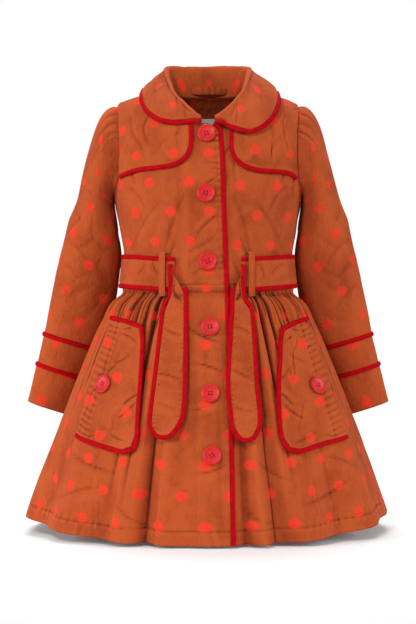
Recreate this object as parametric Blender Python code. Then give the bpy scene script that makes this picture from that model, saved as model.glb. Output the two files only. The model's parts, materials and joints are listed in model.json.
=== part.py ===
"""A girl's trench-style coat, hollow and filled out as if it were worn.

Metres, +Z up; the coat faces -Y and its right side is at -X. The origin is at the centre of the neck
opening, level with the side-neck points. Tables are in millimetres and degrees, and MM turns them into
metres. Angles run round the body: 0 at the centre front, +90 at the left side seam, 180 at the back.
"""

import math

import bpy
import bmesh
import numpy as np
from mathutils import Vector

MM = 0.001

# Driving sizes
CLOTH = 1.2 * MM  # one layer of the cotton with its facing
DOUBLE = 1.8 * MM  # collar, flaps and belt are two layers
SEAM = 0.3 * MM  # between pieces that are sewn edge to edge
REST = 0.7 * MM  # between a piece and the panel that it lies on
BINDING_WIDTH = 6.5 * MM
BINDING_THICKNESS = 2.6 * MM
WAIST = -274 * MM  # the waist seam
SIDE_HEM, FRONT_HEM, BACK_HEM = -588 * MM, -610 * MM, -600 * MM
OVERLAP_LIFT = 2.0 * MM  # how far the right front rises to lie over the left front
OVERLAP_RISE = (-42 * MM, -27 * MM)  # the x between which it rises
OVERLAP_TOP = (-20 * MM, -60 * MM)  # the levels between which the rise fades in, down from the neck
UNDERLAP_X = -14 * MM  # the left front's edge, hidden under the right front
EDGE_INSET = BINDING_WIDTH / 2 + SEAM  # from a binding's middle to the cloth's edge
BUTTON_WIDTH = 24.5 * MM
EPS = 1e-4

# The bodice's rings, from the waist up to where the chest curls in to the shoulders
TORSO_RINGS = (  # level, half_width, front_depth, back_depth
    (-300, 121, 89, 83),
    (-274, 119, 88, 82),
    (-235, 116, 86, 80),
    (-190, 123, 89, 83),
    (-152, 130, 91, 86),
    (-110, 129, 88, 84),
)
TORSO_ROUNDNESS = 2.3
CURL_LEVEL = -110 * MM
FRONT_CURL, BACK_CURL = 1.9, 2.2  # 2 is a round shoulder, less is flatter, more is squarer
SHOULDER_Y = 4 * MM
SIDE_NECK_X = 60 * MM
SHOULDER_TIP_X = 125 * MM
SHOULDER_SLOPE = 0.369

# The skirt's rings, by the share of the way from the waist seam to the hem
SKIRT_RINGS = (  # drop, half_width, front_depth, back_depth
    (0.00, 118.5, 87.5, 81.5),
    (0.035, 119, 88, 82),
    (0.07, 132, 97, 91),
    (0.16, 149, 108, 102),
    (0.285, 167, 121, 115),
    (0.40, 182, 132, 125),
    (0.56, 201, 146, 139),
    (0.78, 226, 163, 155),
    (1.00, 250, 180, 171),
)
SKIRT_ROUNDNESS = 2.1
SKIRT_FOLDS = (  # angle, half_width, depth_at_hem, start: crests stand out, valleys are negative
    (-74, 7, 5, 0.30),
    (-61, 6, -6, 0.30),
    (-48, 8, 8, 0.25),
    (-34, 5, -5, 0.35),
    (-26, 5, 7, 0.15),
    (-18, 4, -12, 0.10),
    (-11, 4, 6, 0.15),
    (-5, 3, -4, 0.35),
    (10.5, 2.8, -9, 0.10),
    (16, 3, 6, 0.20),
    (21.5, 4, -9, 0.15),
    (30, 7, 8, 0.20),
    (44, 5, -6, 0.30),
    (58, 8, 7, 0.25),
    (72, 6, -5, 0.35),
    (124, 8, 7, 0.20),
    (139, 6, -8, 0.20),
    (152, 7, 8, 0.15),
    (166, 5, -7, 0.25),
    (179, 7, 8, 0.15),
    (193, 6, -8, 0.20),
    (207, 7, 7, 0.20),
    (221, 6, -7, 0.25),
    (235, 8, 7, 0.20),
)
FRONT_GATHERS, BACK_GATHERS = 13, 19
FRONT_GATHERS_FROM, FRONT_GATHERS_TO = 14, 89.93
GATHER_DEPTH = (  # drop, depth
    (0.00, 0.8),
    (0.03, 1.2),
    (0.07, 2.6),
    (0.15, 2.4),
    (0.25, 1.2),
    (0.38, 0.4),
    (0.50, 0.0),
    (1.00, 0.0),
)
SLEEVE_DENT, SLEEVE_DENT_ANGLE = 13 * MM, 112  # the sleeve ends press the skirt in behind the side seams
DENT_DROP, DENT_WIDTH, DENT_LENGTH = 0.4, 20, 0.3  # the dent's middle, its spread in degrees and in drop
POCKET_CALM = 0.35  # the share of the gathers left under a pocket
POCKET_REACH = (38, 80)  # the angles between which a pocket flattens the skirt
POCKET_FADE = 6  # degrees over which that fades
SKIRT_ROWS = (0, 0.035, 0.08, 0.14, 0.22, 0.33, 0.46, 0.62, 0.81, 1)


def table(rows):
    return np.array(rows, float).T


def eased(x, xs, ys):
    """A smooth curve through a table's rows, read at x; it stays level past both ends."""
    slopes = np.gradient(ys, xs)
    k = np.clip(np.searchsorted(xs, x, side="right") - 1, 0, len(xs) - 2)
    span = xs[k + 1] - xs[k]
    s = np.clip((x - xs[k]) / span, 0, 1)
    near = ys[k] * (1 + 2 * s) * (1 - s) ** 2 + slopes[k] * span * s * (1 - s) ** 2
    return near + ys[k + 1] * s * s * (3 - 2 * s) + slopes[k + 1] * span * s * s * (s - 1)


def course(points, steps=12):
    """A smooth curve through the points, as a function of the share of its length."""
    p = np.array(points, float)
    q = np.vstack([2 * p[0] - p[1], p, 2 * p[-1] - p[-2]])
    t = np.linspace(0, 1, steps, endpoint=False)[:, None]
    spans = [
        b + (c - a) * t / 2 + (a - 2.5 * b + 2 * c - d / 2) * t**2 + (1.5 * (b - c) + (d - a) / 2) * t**3
        for a, b, c, d in zip(q, q[1:], q[2:], q[3:])
    ]
    fine = np.vstack(spans + [p[-1:]])
    run = np.concatenate([[0], np.cumsum(np.linalg.norm(np.diff(fine, axis=0), axis=1))])
    return lambda u: np.stack(
        [np.interp(u, run / run[-1], fine[:, k]) for k in range(fine.shape[1])], axis=-1
    )


def rounded(share, power):
    return np.sign(share) * np.abs(share) ** power


def bump(x, centre, width):
    return np.exp(-(((x - centre) / width) ** 2))


def ramp(x, start, end):
    s = np.clip((x - start) / (end - start), 0, 1)
    return s * s * (3 - 2 * s)


# ---- Body surfaces -------------------------------------------------------------------------------

TORSO = table(TORSO_RINGS)
TORSO_LEVELS = TORSO[0] * MM
SKIRT = table(SKIRT_RINGS)
GATHERS = table(GATHER_DEPTH)


def shoulder_height(x):
    return -SHOULDER_SLOPE * np.maximum(np.abs(x) - SIDE_NECK_X, 0)


def ring_point(angle, half_width, front_depth, back_depth, roundness):
    s, c = np.sin(np.radians(angle)), np.cos(np.radians(angle))
    depth = np.where(c > 0, front_depth, back_depth)
    return half_width * rounded(s, 2 / roundness), -depth * rounded(c, 2 / roundness)


def torso(angle, level):
    """The bodice's inner face. Levels are heights up to CURL_LEVEL, and 0 is the shoulder line."""
    low = np.minimum(level, CURL_LEVEL)
    sizes = [eased(low, TORSO_LEVELS, column * MM) for column in TORSO[1:]]
    x, y = ring_point(angle, *sizes, TORSO_ROUNDNESS)
    f = np.clip((level - CURL_LEVEL) / -CURL_LEVEL, 0, 1)
    curl = np.where(np.cos(np.radians(angle)) > 0, FRONT_CURL, BACK_CURL)
    reach = (f**curl + (1 - f) ** curl) ** (1 / curl)
    z = low + (shoulder_height(x) - CURL_LEVEL) * f / reach
    y = SHOULDER_Y + (y - SHOULDER_Y) * (1 - f) / reach
    return np.stack([x, y, z], axis=-1)


def torso_place(x, z, back=False):
    """The angle and level where the bodice passes through x and z, on its front or its back."""
    x, z = np.asarray(x, float), np.asarray(z, float)
    curl = BACK_CURL if back else FRONT_CURL
    up = np.clip((z - CURL_LEVEL) / (shoulder_height(x) - CURL_LEVEL), 0, 1)
    out = (1 - up**curl) ** (1 / curl)
    level = np.where(z > CURL_LEVEL, CURL_LEVEL * (1 - up / (up + out)), z)
    half_width = eased(np.minimum(z, CURL_LEVEL), TORSO_LEVELS, TORSO[1] * MM)
    share = np.clip(np.abs(x) / half_width, 0, 1) ** (TORSO_ROUNDNESS / 2)
    angle = np.degrees(np.arcsin(share))
    return np.where(x < 0, -1, 1) * (180 - angle if back else angle), level


def gather_stations(start, end, count):
    """The angles of the crests and valleys between start and end, unevenly spaced."""
    widths = 1 + 0.28 * np.sin(2.4 * np.arange(2 * count)) + 0.12 * np.sin(5.1 * np.arange(2 * count))
    run = np.concatenate([[0], np.cumsum(widths)])
    return start + (end - start) * run / run[-1]


RIGHT_STATIONS = gather_stations(-FRONT_GATHERS_TO, -FRONT_GATHERS_FROM, FRONT_GATHERS)
LEFT_STATIONS = gather_stations(FRONT_GATHERS_FROM, FRONT_GATHERS_TO, FRONT_GATHERS)
BACK_STATIONS = gather_stations(180 - FRONT_GATHERS_TO, 180 + FRONT_GATHERS_TO, BACK_GATHERS)


def gather_wave(angle):
    """+1 on a gather's crest and -1 in its valley, and 0 where the cloth isn't gathered."""
    wave = np.zeros(np.shape(angle))
    for stations in (RIGHT_STATIONS, LEFT_STATIONS, BACK_STATIONS, BACK_STATIONS - 360):
        within = (angle > stations[0] - EPS) & (angle < stations[-1] + EPS)
        step = np.interp(angle, stations, np.arange(len(stations)))
        from_ends = np.minimum(step, len(stations) - 1 - step)
        depth = (0.75 + 0.35 * np.sin(1.9 * step)) * np.clip(from_ends, 0, 1)
        wave = np.where(within, depth * np.cos(np.pi * step), wave)
    return wave


def hem_height(angle):
    c = np.cos(np.radians(angle))
    return SIDE_HEM + np.where(c > 0, FRONT_HEM - SIDE_HEM, BACK_HEM - SIDE_HEM) * np.abs(c) ** 1.5


def skirt(angle, drop, gathered=1.0, folded=1.0):
    """The skirt's inner face, from the waist seam (0) to the hem (1)."""
    sizes = [eased(drop, SKIRT[0], column * MM) for column in SKIRT[1:]]
    x, y = ring_point(angle, *sizes, SKIRT_ROUNDNESS)
    z = WAIST + (hem_height(angle) - WAIST) * drop
    turned = (np.asarray(angle) + 120) % 360 - 120
    outward = 0
    for centre, width, depth, start in SKIRT_FOLDS:
        from_fold = (turned - centre + 180) % 360 - 180
        outward = outward + folded * depth * MM * bump(from_fold, 0, width) * ramp(drop, start, 1.1)
    for centre in (SLEEVE_DENT_ANGLE, 360 - SLEEVE_DENT_ANGLE):
        from_dent = (turned - centre + 180) % 360 - 180
        outward = outward - SLEEVE_DENT * bump(from_dent, 0, DENT_WIDTH) * bump(drop, DENT_DROP, DENT_LENGTH)
    under_pocket = ramp(np.abs(turned), POCKET_REACH[0] - POCKET_FADE, POCKET_REACH[0])
    under_pocket = under_pocket * (1 - ramp(np.abs(turned), POCKET_REACH[1], POCKET_REACH[1] + POCKET_FADE))
    calm = 1 - (1 - POCKET_CALM) * under_pocket * ramp(drop, 0.08, 0.16)
    depth = eased(drop, GATHERS[0], GATHERS[1] * MM)
    outward = outward + gathered * calm * depth * gather_wave(turned)
    s, c = np.sin(np.radians(angle)), -np.cos(np.radians(angle))
    return np.stack([x + outward * s, y + outward * c, z], axis=-1)


def skirt_place(x, z):
    """The angle and drop where the skirt's front passes through x and z."""
    x, z = np.asarray(x, float), np.asarray(z, float)
    angle = np.zeros(np.shape(z))
    for _ in range(6):
        drop = (z - WAIST) / (hem_height(angle) - WAIST)
        half_width = eased(drop, SKIRT[0], SKIRT[1] * MM)
        share = np.clip(np.abs(x) / half_width, 0, 1) ** (SKIRT_ROUNDNESS / 2)
        angle = np.sign(x) * np.degrees(np.arcsin(share))
    return angle, drop


def lay(surface, a, b, lift=0.0, outward=1):
    """Points at a height over a surface, along its outward normal."""
    a, b = np.broadcast_arrays(np.asarray(a, float), np.asarray(b, float))
    da, db = 0.05, 0.0004
    along = surface(a + da, b) - surface(a - da, b)
    up = surface(a, b + db) - surface(a, b - db)
    normal = outward * np.cross(along, up)
    normal /= np.linalg.norm(normal, axis=-1, keepdims=True)
    return surface(a, b) + normal * np.asarray(lift)[..., None]


# ---- Making solids -------------------------------------------------------------------------------

for left_over in list(bpy.data.objects):
    bpy.data.objects.remove(left_over)


STRIP_TOP = 0.7  # a strip's width on top, as a share of its width below


def finish(name, colour, roughness, metallic=0.0):
    material = bpy.data.materials.new(name)
    material.use_nodes = True
    shader = material.node_tree.nodes["Principled BSDF"]
    shader.inputs["Base Color"].default_value = (*colour, 1)
    shader.inputs["Roughness"].default_value = roughness
    shader.inputs["Metallic"].default_value = metallic
    return material


COTTON = finish("rust_cotton", (0.55, 0.10, 0.025), 0.8)
RED_BINDING = finish("red_binding", (0.54, 0.006, 0.013), 0.7)
RED_PLASTIC = finish("red_plastic", (0.75, 0.035, 0.04), 0.35)
PALE_LINING = finish("pale_lining", (0.50, 0.42, 0.40), 0.8)


def add_solid(name, verts, faces, material):
    """One object from points and faces, with its faces turned outwards."""
    verts = np.asarray(verts, float)
    volume = 0.0
    for face in faces:
        for b, c in zip(face[1:], face[2:]):
            volume += np.dot(verts[face[0]], np.cross(verts[b], verts[c]))
    if volume < 0:
        faces = [face[::-1] for face in faces]
    mesh = bpy.data.meshes.new(name)
    mesh.from_pydata(verts.tolist(), [], faces)
    mesh.materials.append(material)
    obj = bpy.data.objects.new(name, mesh)
    bpy.context.scene.collection.objects.link(obj)
    mesh.shade_smooth()
    mesh.set_sharp_from_angle(angle=math.radians(40))
    return obj


def add_wall(name, inner, outer, material, closed=False):
    """A wall between two grids of points, with a rim; a closed one runs round along its rows."""
    rows, cols = inner.shape[:2]
    back = rows * cols
    faces = []
    for r in range(rows - 1):
        for c in range(cols if closed else cols - 1):
            a, b = r * cols + c, r * cols + (c + 1) % cols
            d, e = a + cols, b + cols
            faces += [(a, b, e), (a, e, d)]
            faces += [(e + back, b + back, a + back), (d + back, e + back, a + back)]
    ends = [(r * cols, 1, cols if closed else cols - 1) for r in (0, rows - 1)]
    for (first, step, count), flip in zip(ends, (False, True)):
        for c in range(count):
            u, v = first + c, first + (c + step) % cols
            faces.append((u, v, v + back, u + back) if flip else (v, u, u + back, v + back))
    if not closed:
        for column, flip in ((0, True), (cols - 1, False)):
            for r in range(rows - 1):
                u, v = r * cols + column, (r + 1) * cols + column
                faces.append((u, v, v + back, u + back) if flip else (v, u, u + back, v + back))
    return add_solid(name, np.vstack([outer.reshape(-1, 3), inner.reshape(-1, 3)]), faces, material)


def add_layer(name, surface, a, b, lift, thickness, material, outward=1, closed=False):
    inner = lay(surface, a, b, lift, outward)
    outer = lay(surface, a, b, np.asarray(lift) + thickness, outward)
    return add_wall(name, inner, outer, material, closed)


def add_strip(
    name, path, normals, material, width=BINDING_WIDTH, thickness=BINDING_THICKNESS, closed=False
):
    """A flat band along a path that is the middle of its underside, slightly narrower on top."""
    along = np.roll(path, -1, 0) - np.roll(path, 1, 0)
    if not closed:
        along[0], along[-1] = path[1] - path[0], path[-1] - path[-2]
    across = np.cross(along, normals)
    across *= width / 2 / np.linalg.norm(across, axis=1, keepdims=True)
    over = normals * thickness
    top = STRIP_TOP * across
    section = np.stack([path - across, path + across, path + top + over, path - top + over], 1)
    count = len(path)
    faces = []
    for r in range(count if closed else count - 1):
        for k in range(4):
            a, b = 4 * r + k, 4 * r + (k + 1) % 4
            c, d = 4 * ((r + 1) % count) + (k + 1) % 4, 4 * ((r + 1) % count) + k
            faces += [(a, b, c), (a, c, d)]
    if not closed:
        faces += [(3, 2, 1, 0), tuple(4 * (count - 1) + k for k in range(4))]
    return add_solid(name, section.reshape(-1, 3), faces, material)


def coons(bottom, top, left, right):
    """A grid between four edge courses of points; rows run from bottom to top, columns left to right."""
    u = np.linspace(0, 1, len(bottom))[None, :, None]
    v = np.linspace(0, 1, len(left))[:, None, None]
    ruled = (1 - v) * bottom[None] + v * top[None] + (1 - u) * left[:, None] + u * right[:, None]
    below = (1 - u) * bottom[0] + u * bottom[-1]
    above = (1 - u) * top[0] + u * top[-1]
    return ruled - (1 - v) * below - v * above


def places(points, place=torso_place, **how):
    """Front-view points, x and z in metres, as places on a surface."""
    return np.stack(place(points[..., 0], points[..., 1], **how), axis=-1)


def inset(points, distance):
    """A front-view outline moved to its left."""
    along = np.gradient(points, axis=0)
    side = np.stack([-along[:, 1], along[:, 0]], axis=-1)
    return points + distance * side / np.linalg.norm(side, axis=1, keepdims=True)


# ---- Bodice --------------------------------------------------------------------------------------

# Front view of the neckline and armhole, for the left side; the right side mirrors them
NECK_POINTS = ((8, -58), (18, -55), (27, -50), (38, -42), (49, -28), (56, -13), (60, 0))  # x, z
BACK_NECK_POINTS = ((60, 0), (50, -4), (32, -6.5), (0, -7.5))
ARMHOLE_POINTS = ((125, -24), (121, -60), (120, -100), (123, -130), (130, -152))
UNDERARM = -152 * MM  # the level of the underarm point
NECKLINE, BACK_NECKLINE, ARMHOLE = (
    course(np.array(points) * MM) for points in (NECK_POINTS, BACK_NECK_POINTS, ARMHOLE_POINTS)
)
FRONT_EDGE = (  # height, x: the middle of the front edge's binding
    (-610, 32),
    (-450, 29.5),
    (-274, 25),
    (-180, 21.5),
    (-100, 19),
    (-70, 17),
    (-62, 14.5),
    (-58, 8),
)
FRONT_COLUMNS, FRONT_ROWS, SIDE_SEAM_ROWS = 12, 18, 6
BACK_COLUMNS, BACK_SEAM_ROWS, BACK_ARMHOLE_ROWS = 21, 5, 12
EDGE_ROWS = (-274, -240, -205, -170, -142, -120, -102, -88, -78, -68)  # rows up the front edge
TIP_CROWDING = 1.7  # above 1, the armhole's points crowd towards the shoulder tip


def armhole(count, side, back=False, start=0.0):
    """Places from the underarm up to the shoulder tip, closer together at the top; start skips part."""
    points = places(ARMHOLE((1 - start) * np.linspace(1, 0, count) ** TIP_CROWDING), back=back)
    return points * (side, 1)


def neckline(count, side, back=False):
    """Places from the centre out to the side neck."""
    if back:
        return places(BACK_NECKLINE(np.linspace(1, 0, count)), back=True) * (side, 1)
    return places(NECKLINE(np.linspace(0, 1, count)) * (side, 1))


HALF_GAP_ANGLE = math.degrees(SEAM / 2 / (120 * MM))  # half a seam at the side, as an angle round the body


def side_seam(count):
    """Places up the left side seam, from the waist to the underarm."""
    return np.stack([np.full(count, 90.0), np.linspace(WAIST, UNDERARM, count)], 1)


def front_panel(side, inner_points, lift):
    """A front from its inner edge to the side seam: columns run outwards, rows from waist to shoulder."""
    seam = side_seam(SIDE_SEAM_ROWS) * (side, 1)
    outer_edge = np.vstack([seam[:-1], armhole(FRONT_ROWS + 1 - SIDE_SEAM_ROWS, side)])
    outer_edge[:, 0] -= side * HALF_GAP_ANGLE
    bottom = np.linspace(inner_points[0], outer_edge[0], FRONT_COLUMNS)
    top_x = np.linspace(SIDE_NECK_X, SHOULDER_TIP_X, FRONT_COLUMNS) * side
    top = places(np.stack([top_x, shoulder_height(top_x)], 1))
    grid = coons(bottom, top, inner_points, outer_edge)
    grid[..., 1] -= SEAM / 2 * (grid[..., 1] > -EPS)
    name = "front_left" if side > 0 else "front_right"
    angle, level = grid[..., 0], grid[..., 1]
    add_layer(name, torso, angle, level, lift(angle, level), CLOTH, COTTON)


def flat(angle, _):
    return np.zeros(angle.shape)


def overlap_lift(angle, level):
    """The right front rises as it nears the centre, to lie over the left front."""
    x = torso(angle, level)[..., 0]
    return OVERLAP_LIFT * ramp(x, *OVERLAP_RISE) * ramp(level, *OVERLAP_TOP)


def add_bodice():
    heights, edge_x = table(FRONT_EDGE) * MM
    rows = np.array(EDGE_ROWS) * MM
    edge = places(np.stack([np.interp(rows, heights, edge_x) - EDGE_INSET, rows], 1))
    crossing = places(np.array([(1 * MM, -58.5 * MM)]))
    right_inner = np.vstack([edge, crossing, neckline(FRONT_ROWS - len(edge) - 1, -1)])
    front_panel(-1, right_inner, overlap_lift)
    under_edge = places(np.stack([np.full(len(rows), UNDERLAP_X), rows], 1))
    left_inner = np.vstack([under_edge, neckline(FRONT_ROWS - len(rows), 1)])
    front_panel(1, left_inner, flat)

    left = np.vstack([side_seam(BACK_SEAM_ROWS)[:-1], armhole(BACK_ARMHOLE_ROWS, 1, back=True)])
    left[:, 0] += HALF_GAP_ANGLE
    right = left * (-1, 1) + (360, 0)
    bottom = np.linspace(left[0], right[0], BACK_COLUMNS)
    shoulder_x = np.linspace(SHOULDER_TIP_X, SIDE_NECK_X, 6)
    shoulder = places(np.stack([shoulder_x, shoulder_height(shoulder_x)], 1), back=True)
    half_top = np.vstack([shoulder[:-1], neckline(6, 1, back=True)[::-1]])
    top = np.vstack([half_top, (half_top * (-1, 1) + (360, 0))[-2::-1]])
    grid = coons(bottom, top, left, right)
    grid[..., 1] -= SEAM / 2 * (grid[..., 1] > -EPS)
    add_layer("back", torso, grid[..., 0], grid[..., 1], 0.0, CLOTH, COTTON)


# ---- Skirt ---------------------------------------------------------------------------------------


def front_edge_angle(drop, x_of_height):
    """The angle at which a straight-cut front edge crosses each drop."""
    z = WAIST + (FRONT_HEM - WAIST) * np.asarray(drop)
    return skirt_place(x_of_height(z), z)[0]


def skirt_panel(name, angles, drops, lift):
    drops = np.broadcast_to(np.asarray(drops)[:, None], angles.shape)
    start = np.maximum(drops, SEAM / (WAIST - SIDE_HEM))
    add_layer(name, skirt, angles, start, lift(angles, drops), CLOTH, COTTON, outward=-1)


def skirt_overlap_lift(angle, drop):
    return OVERLAP_LIFT * ramp(skirt(angle, drop)[..., 0], *OVERLAP_RISE)


def add_skirt():
    drops = np.array(SKIRT_ROWS)
    heights, edge_x = table(FRONT_EDGE) * MM
    edge = front_edge_angle(drops, lambda z: np.interp(z, heights, edge_x) - EDGE_INSET)
    under = front_edge_angle(drops, lambda z: np.full(z.shape, UNDERLAP_X))
    lapped = [np.linspace(start, end, 6) for start, end in zip(under, edge)]
    right, left = [], []
    for lap in lapped:
        right.append(np.concatenate([RIGHT_STATIONS, [(RIGHT_STATIONS[-1] + lap[0]) / 2], lap]))
        onwards = np.linspace(lap[-1], LEFT_STATIONS[0], 4)[:-1]
        left.append(np.concatenate([lap[:-1], onwards, LEFT_STATIONS]))
    skirt_panel("skirt_front_right", np.array(right), drops, skirt_overlap_lift)
    skirt_panel("skirt_front_left", np.array(left), drops, flat)
    back = np.broadcast_to(BACK_STATIONS, (len(drops), len(BACK_STATIONS)))
    skirt_panel("skirt_back", back, drops, flat)


# ---- Collar --------------------------------------------------------------------------------------

COLLAR_ROWS = (  # share from the centre back to the front end, the fold, then the edge on each side
    # share, roll_x, roll_y, roll_z, right_edge_x, right_edge_z, left_edge_x, left_edge_z
    (0.00, 0, 51, 39, 0, -33, 0, -33),
    (0.15, 36, 45, 39, 48, -30, 48, -30),
    (0.30, 57, 30, 35.5, 82, -17, 84, -17),
    (0.40, 59.5, 10, 29, 89, -10.7, 95, -12.9),
    (0.50, 56, -17, 15, 89, -28, 92, -38),
    (0.60, 50, -42, -5, 80, -46, 77, -62),
    (0.70, 38.6, -59, -22, 62, -58.5, 56, -74),
    (0.80, 26, -72, -36, 43, -61.5, 38, -70),
    (0.90, 16.5, -77, -44, 26, -60, 23, -63),
    (1.00, 9.5, -79, -48, 9.5, -60, 10, -60),
)
COLLAR_FRONT_SHARE = 0.4  # where the neckline passes the side neck
COLLAR_LIFT = 8.1 * MM  # the collar's edge lies over the storm flaps
COLLAR_HALF = 14  # sections from the centre back to each front end
COLLAR_SEAM = 1.9 * MM  # from the neckline up to the stand's lower edge
SHOULDER_RISE = 2.6 * MM  # the collar's edge bridges the shoulder's bend
SHOULDER_BEND = (0.45, 0.12)  # the bend's share and its spread
ROLL_RADIUS = 3.2 * MM
FALL_BULGE = (2 * MM, 2.5 * MM)  # how far the fall bows outwards and upwards
FULL_FALL = 60 * MM  # a shorter fall bows less
NECK_MIDDLE = np.array((0, -8 * MM))


def grid_normals(grid, closed=False):
    down = np.gradient(grid, axis=0)
    around = (np.roll(grid, -1, 1) - np.roll(grid, 1, 1)) / 2 if closed else np.gradient(grid, axis=1)
    normals = np.cross(around, down)
    return normals / np.linalg.norm(normals, axis=2, keepdims=True)


def collar_section(share):
    """Eight points from the neck seam up the stand, over the roll and down the fall to the edge."""
    columns = table(COLLAR_ROWS)
    away, side = abs(share), (1 if share > 0 else -1)
    values = [float(eased(away, columns[0], column)) * MM for column in columns[1:]]
    roll = np.array((values[0] * side, values[1], values[2]))
    edge_x, edge_z = values[5:7] if side > 0 else values[3:5]
    behind = away < COLLAR_FRONT_SHARE
    edge_place = torso_place(edge_x * side, edge_z, back=behind)
    risen = SHOULDER_RISE * bump(away, *SHOULDER_BEND)
    if not behind:
        risen += OVERLAP_LIFT * ramp(edge_z, *OVERLAP_TOP)
    edge = lay(torso, *edge_place, COLLAR_LIFT + risen)
    if behind:
        seam_x, seam_z = BACK_NECKLINE(1 - away / COLLAR_FRONT_SHARE)
    else:
        seam_x, seam_z = NECKLINE(1 - (away - COLLAR_FRONT_SHARE) / (1 - COLLAR_FRONT_SHARE))
    seam = torso(*torso_place(seam_x * side, seam_z, back=behind))
    stand = np.linalg.norm(roll - seam)
    seam = seam + COLLAR_SEAM * (roll - seam) / stand
    outward = np.append(roll[:2] - NECK_MIDDLE, 0)
    outward /= np.linalg.norm(outward)
    radius = min(ROLL_RADIUS, 0.28 * stand)
    dip = np.array((0, 0, 1.2 * radius))
    roll_in, roll_out = roll - outward * radius - dip, roll + outward * radius - dip
    fall = edge - roll_out
    reach = min(np.linalg.norm(fall) / FULL_FALL, 1)
    bulge = reach * (outward * FALL_BULGE[0] + np.array((0, 0, FALL_BULGE[1])))
    edge = edge - fall * min((BINDING_WIDTH + SEAM) / np.linalg.norm(fall), 0.8)
    first, second = roll_out + 0.4 * fall + bulge, roll_out + 0.72 * fall + 0.7 * bulge
    if np.linalg.norm(fall) < 3.2 * BINDING_WIDTH:
        first, second = roll_out + 0.33 * (edge - roll_out), roll_out + 0.66 * (edge - roll_out)
    return np.array([seam, (seam + roll_in) / 2, roll_in, roll, roll_out, first, second, edge])


def add_collar():
    half = np.linspace(0, 1, COLLAR_HALF)[1:]
    shares = np.concatenate([-half[::-1], [0], half])
    grid = np.stack([collar_section(share) for share in shares], 1)
    normals = grid_normals(grid)
    if normals[3, COLLAR_HALF - 1, 2] < 0:
        normals = -normals
    add_wall("collar", grid, grid + normals * DOUBLE, COTTON)
    step = grid[-1] - grid[-2]
    step /= np.linalg.norm(step, axis=1, keepdims=True)
    along = np.gradient(grid[-1], axis=0)
    along /= np.linalg.norm(along, axis=1, keepdims=True)
    step -= along * np.sum(step * along, axis=1, keepdims=True)
    path = grid[-1] + step * (EDGE_INSET + 3.5 * SEAM) / np.linalg.norm(step, axis=1, keepdims=True)
    add_strip("collar_binding", path, normals[-1], RED_BINDING)


# ---- Storm flaps ---------------------------------------------------------------------------------

FLAP_OUTLINES = {  # x, z from the armhole along the lower edge and up the inner edge to the neck
    -1: (
        (116, -129), (108, -126), (90, -122), (70, -120.5), (50, -118),
        (35, -112), (24.5, -103), (19.5, -87), (19.5, -62),
    ),
    1: (
        (116, -131), (108, -126), (90, -125), (66, -124), (47, -118),
        (34.5, -108), (28.5, -95), (28, -82), (28, -68),
    ),
}
FLAP_CORNER = 0.68  # the share of the outline at which the lower edge turns up
FLAP_NECK_SCALE = 1.1  # the flap stops short of the neckline, under the collar
FLAP_ARMHOLE_MARGIN = 1.8  # degrees short of the armhole
FLAP_LIFT = CLOTH + 1.7 * MM
FLAP_LOWER_POINTS, FLAP_INNER_POINTS = 12, 10


def add_flaps():
    for side, name in ((-1, "right"), (1, "left")):
        outline = course(np.array(FLAP_OUTLINES[side]) * (side * MM, MM))
        shares = np.linspace(0, FLAP_CORNER, FLAP_LOWER_POINTS)
        edge = outline(np.append(shares[:-1], np.linspace(FLAP_CORNER, 1, FLAP_INNER_POINTS)))
        cloth_edge = inset(edge, -side * (BINDING_WIDTH + SEAM))
        turn = FLAP_LOWER_POINTS - 1
        lower, inner = places(cloth_edge[: turn + 1]), places(cloth_edge[turn:])
        start = (cloth_edge[0, 1] - UNDERARM) / (ARMHOLE_POINTS[0][1] * MM - UNDERARM)
        outer = armhole(len(inner), side, start=start)
        outer[:, 0] -= side * FLAP_ARMHOLE_MARGIN
        outer[0] = lower[0]
        neck_end = cloth_edge[-1]
        tip_x = np.linspace(SHOULDER_TIP_X - 4 * MM, SIDE_NECK_X + 5 * MM, 6) * side
        shoulder = np.stack([tip_x, shoulder_height(tip_x)], 1)
        along_neck = NECKLINE(np.linspace(0.9, 0.3, turn - 5)) * (side * FLAP_NECK_SCALE, FLAP_NECK_SCALE)
        along_neck[-1] = neck_end
        top = places(np.vstack([shoulder, along_neck]))
        outer[-1] = top[0]
        grid = coons(lower, top, outer, inner)
        angle, level = grid[..., 0], np.minimum(grid[..., 1], -SEAM)
        lift = FLAP_LIFT + (overlap_lift(angle, level) if side < 0 else 0)
        add_layer(f"storm_flap_{name}", torso, angle, level, lift, DOUBLE, COTTON)
        middle = places(inset(edge, -side * BINDING_WIDTH / 2))
        lift = FLAP_LIFT + (overlap_lift(middle[:, 0], middle[:, 1]) if side < 0 else 0)
        under = lay(torso, middle[:, 0], middle[:, 1], lift)
        over = lay(torso, middle[:, 0], middle[:, 1], lift + MM)
        add_strip(f"storm_flap_binding_{name}", under, (over - under) / MM, RED_BINDING)


# ---- Sleeves -------------------------------------------------------------------------------------

SLEEVE_RINGS = (  # from the upper arm to the hem, for the left sleeve; tilt and turn in degrees
    # x, y, z, half_width, half_depth, turn, tilt
    (157, 3, -158, 26, 45, 0, 12),
    (162.5, 8, -192, 33, 42, 5, 12),
    (165.5, 15, -230, 39.5, 37, 10, 12),
    (173, 24, -270, 42.5, 32, 16, 13),
    (183, 33, -314, 43, 29, 20, 15),
    (192.5, 40, -354, 43, 27, 23, 17),  # the upper binding
    (204, 48, -397, 43, 25, 25, 18),  # the lower binding
    (219, 57, -452, 43, 24, 26, 19),  # the hem
)
UPPER_BINDING, LOWER_BINDING, SLEEVE_HEM = 5, 6, 7
CAP_ROWS, CAP_END = 5, 0.15
CAP_OUT, CAP_DOWN = 0.75, 0.95  # how far the sleeve head runs on from the armhole and into the arm
SLEEVE_ROWS = (0.7, 1.5, 2.4, 3.3, 4.2)
HEAD_GATHER = 1.3 * MM
HEAD_COLUMNS, UNDER_COLUMNS = 13, 7  # round the gathered top, and round the rest


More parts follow.
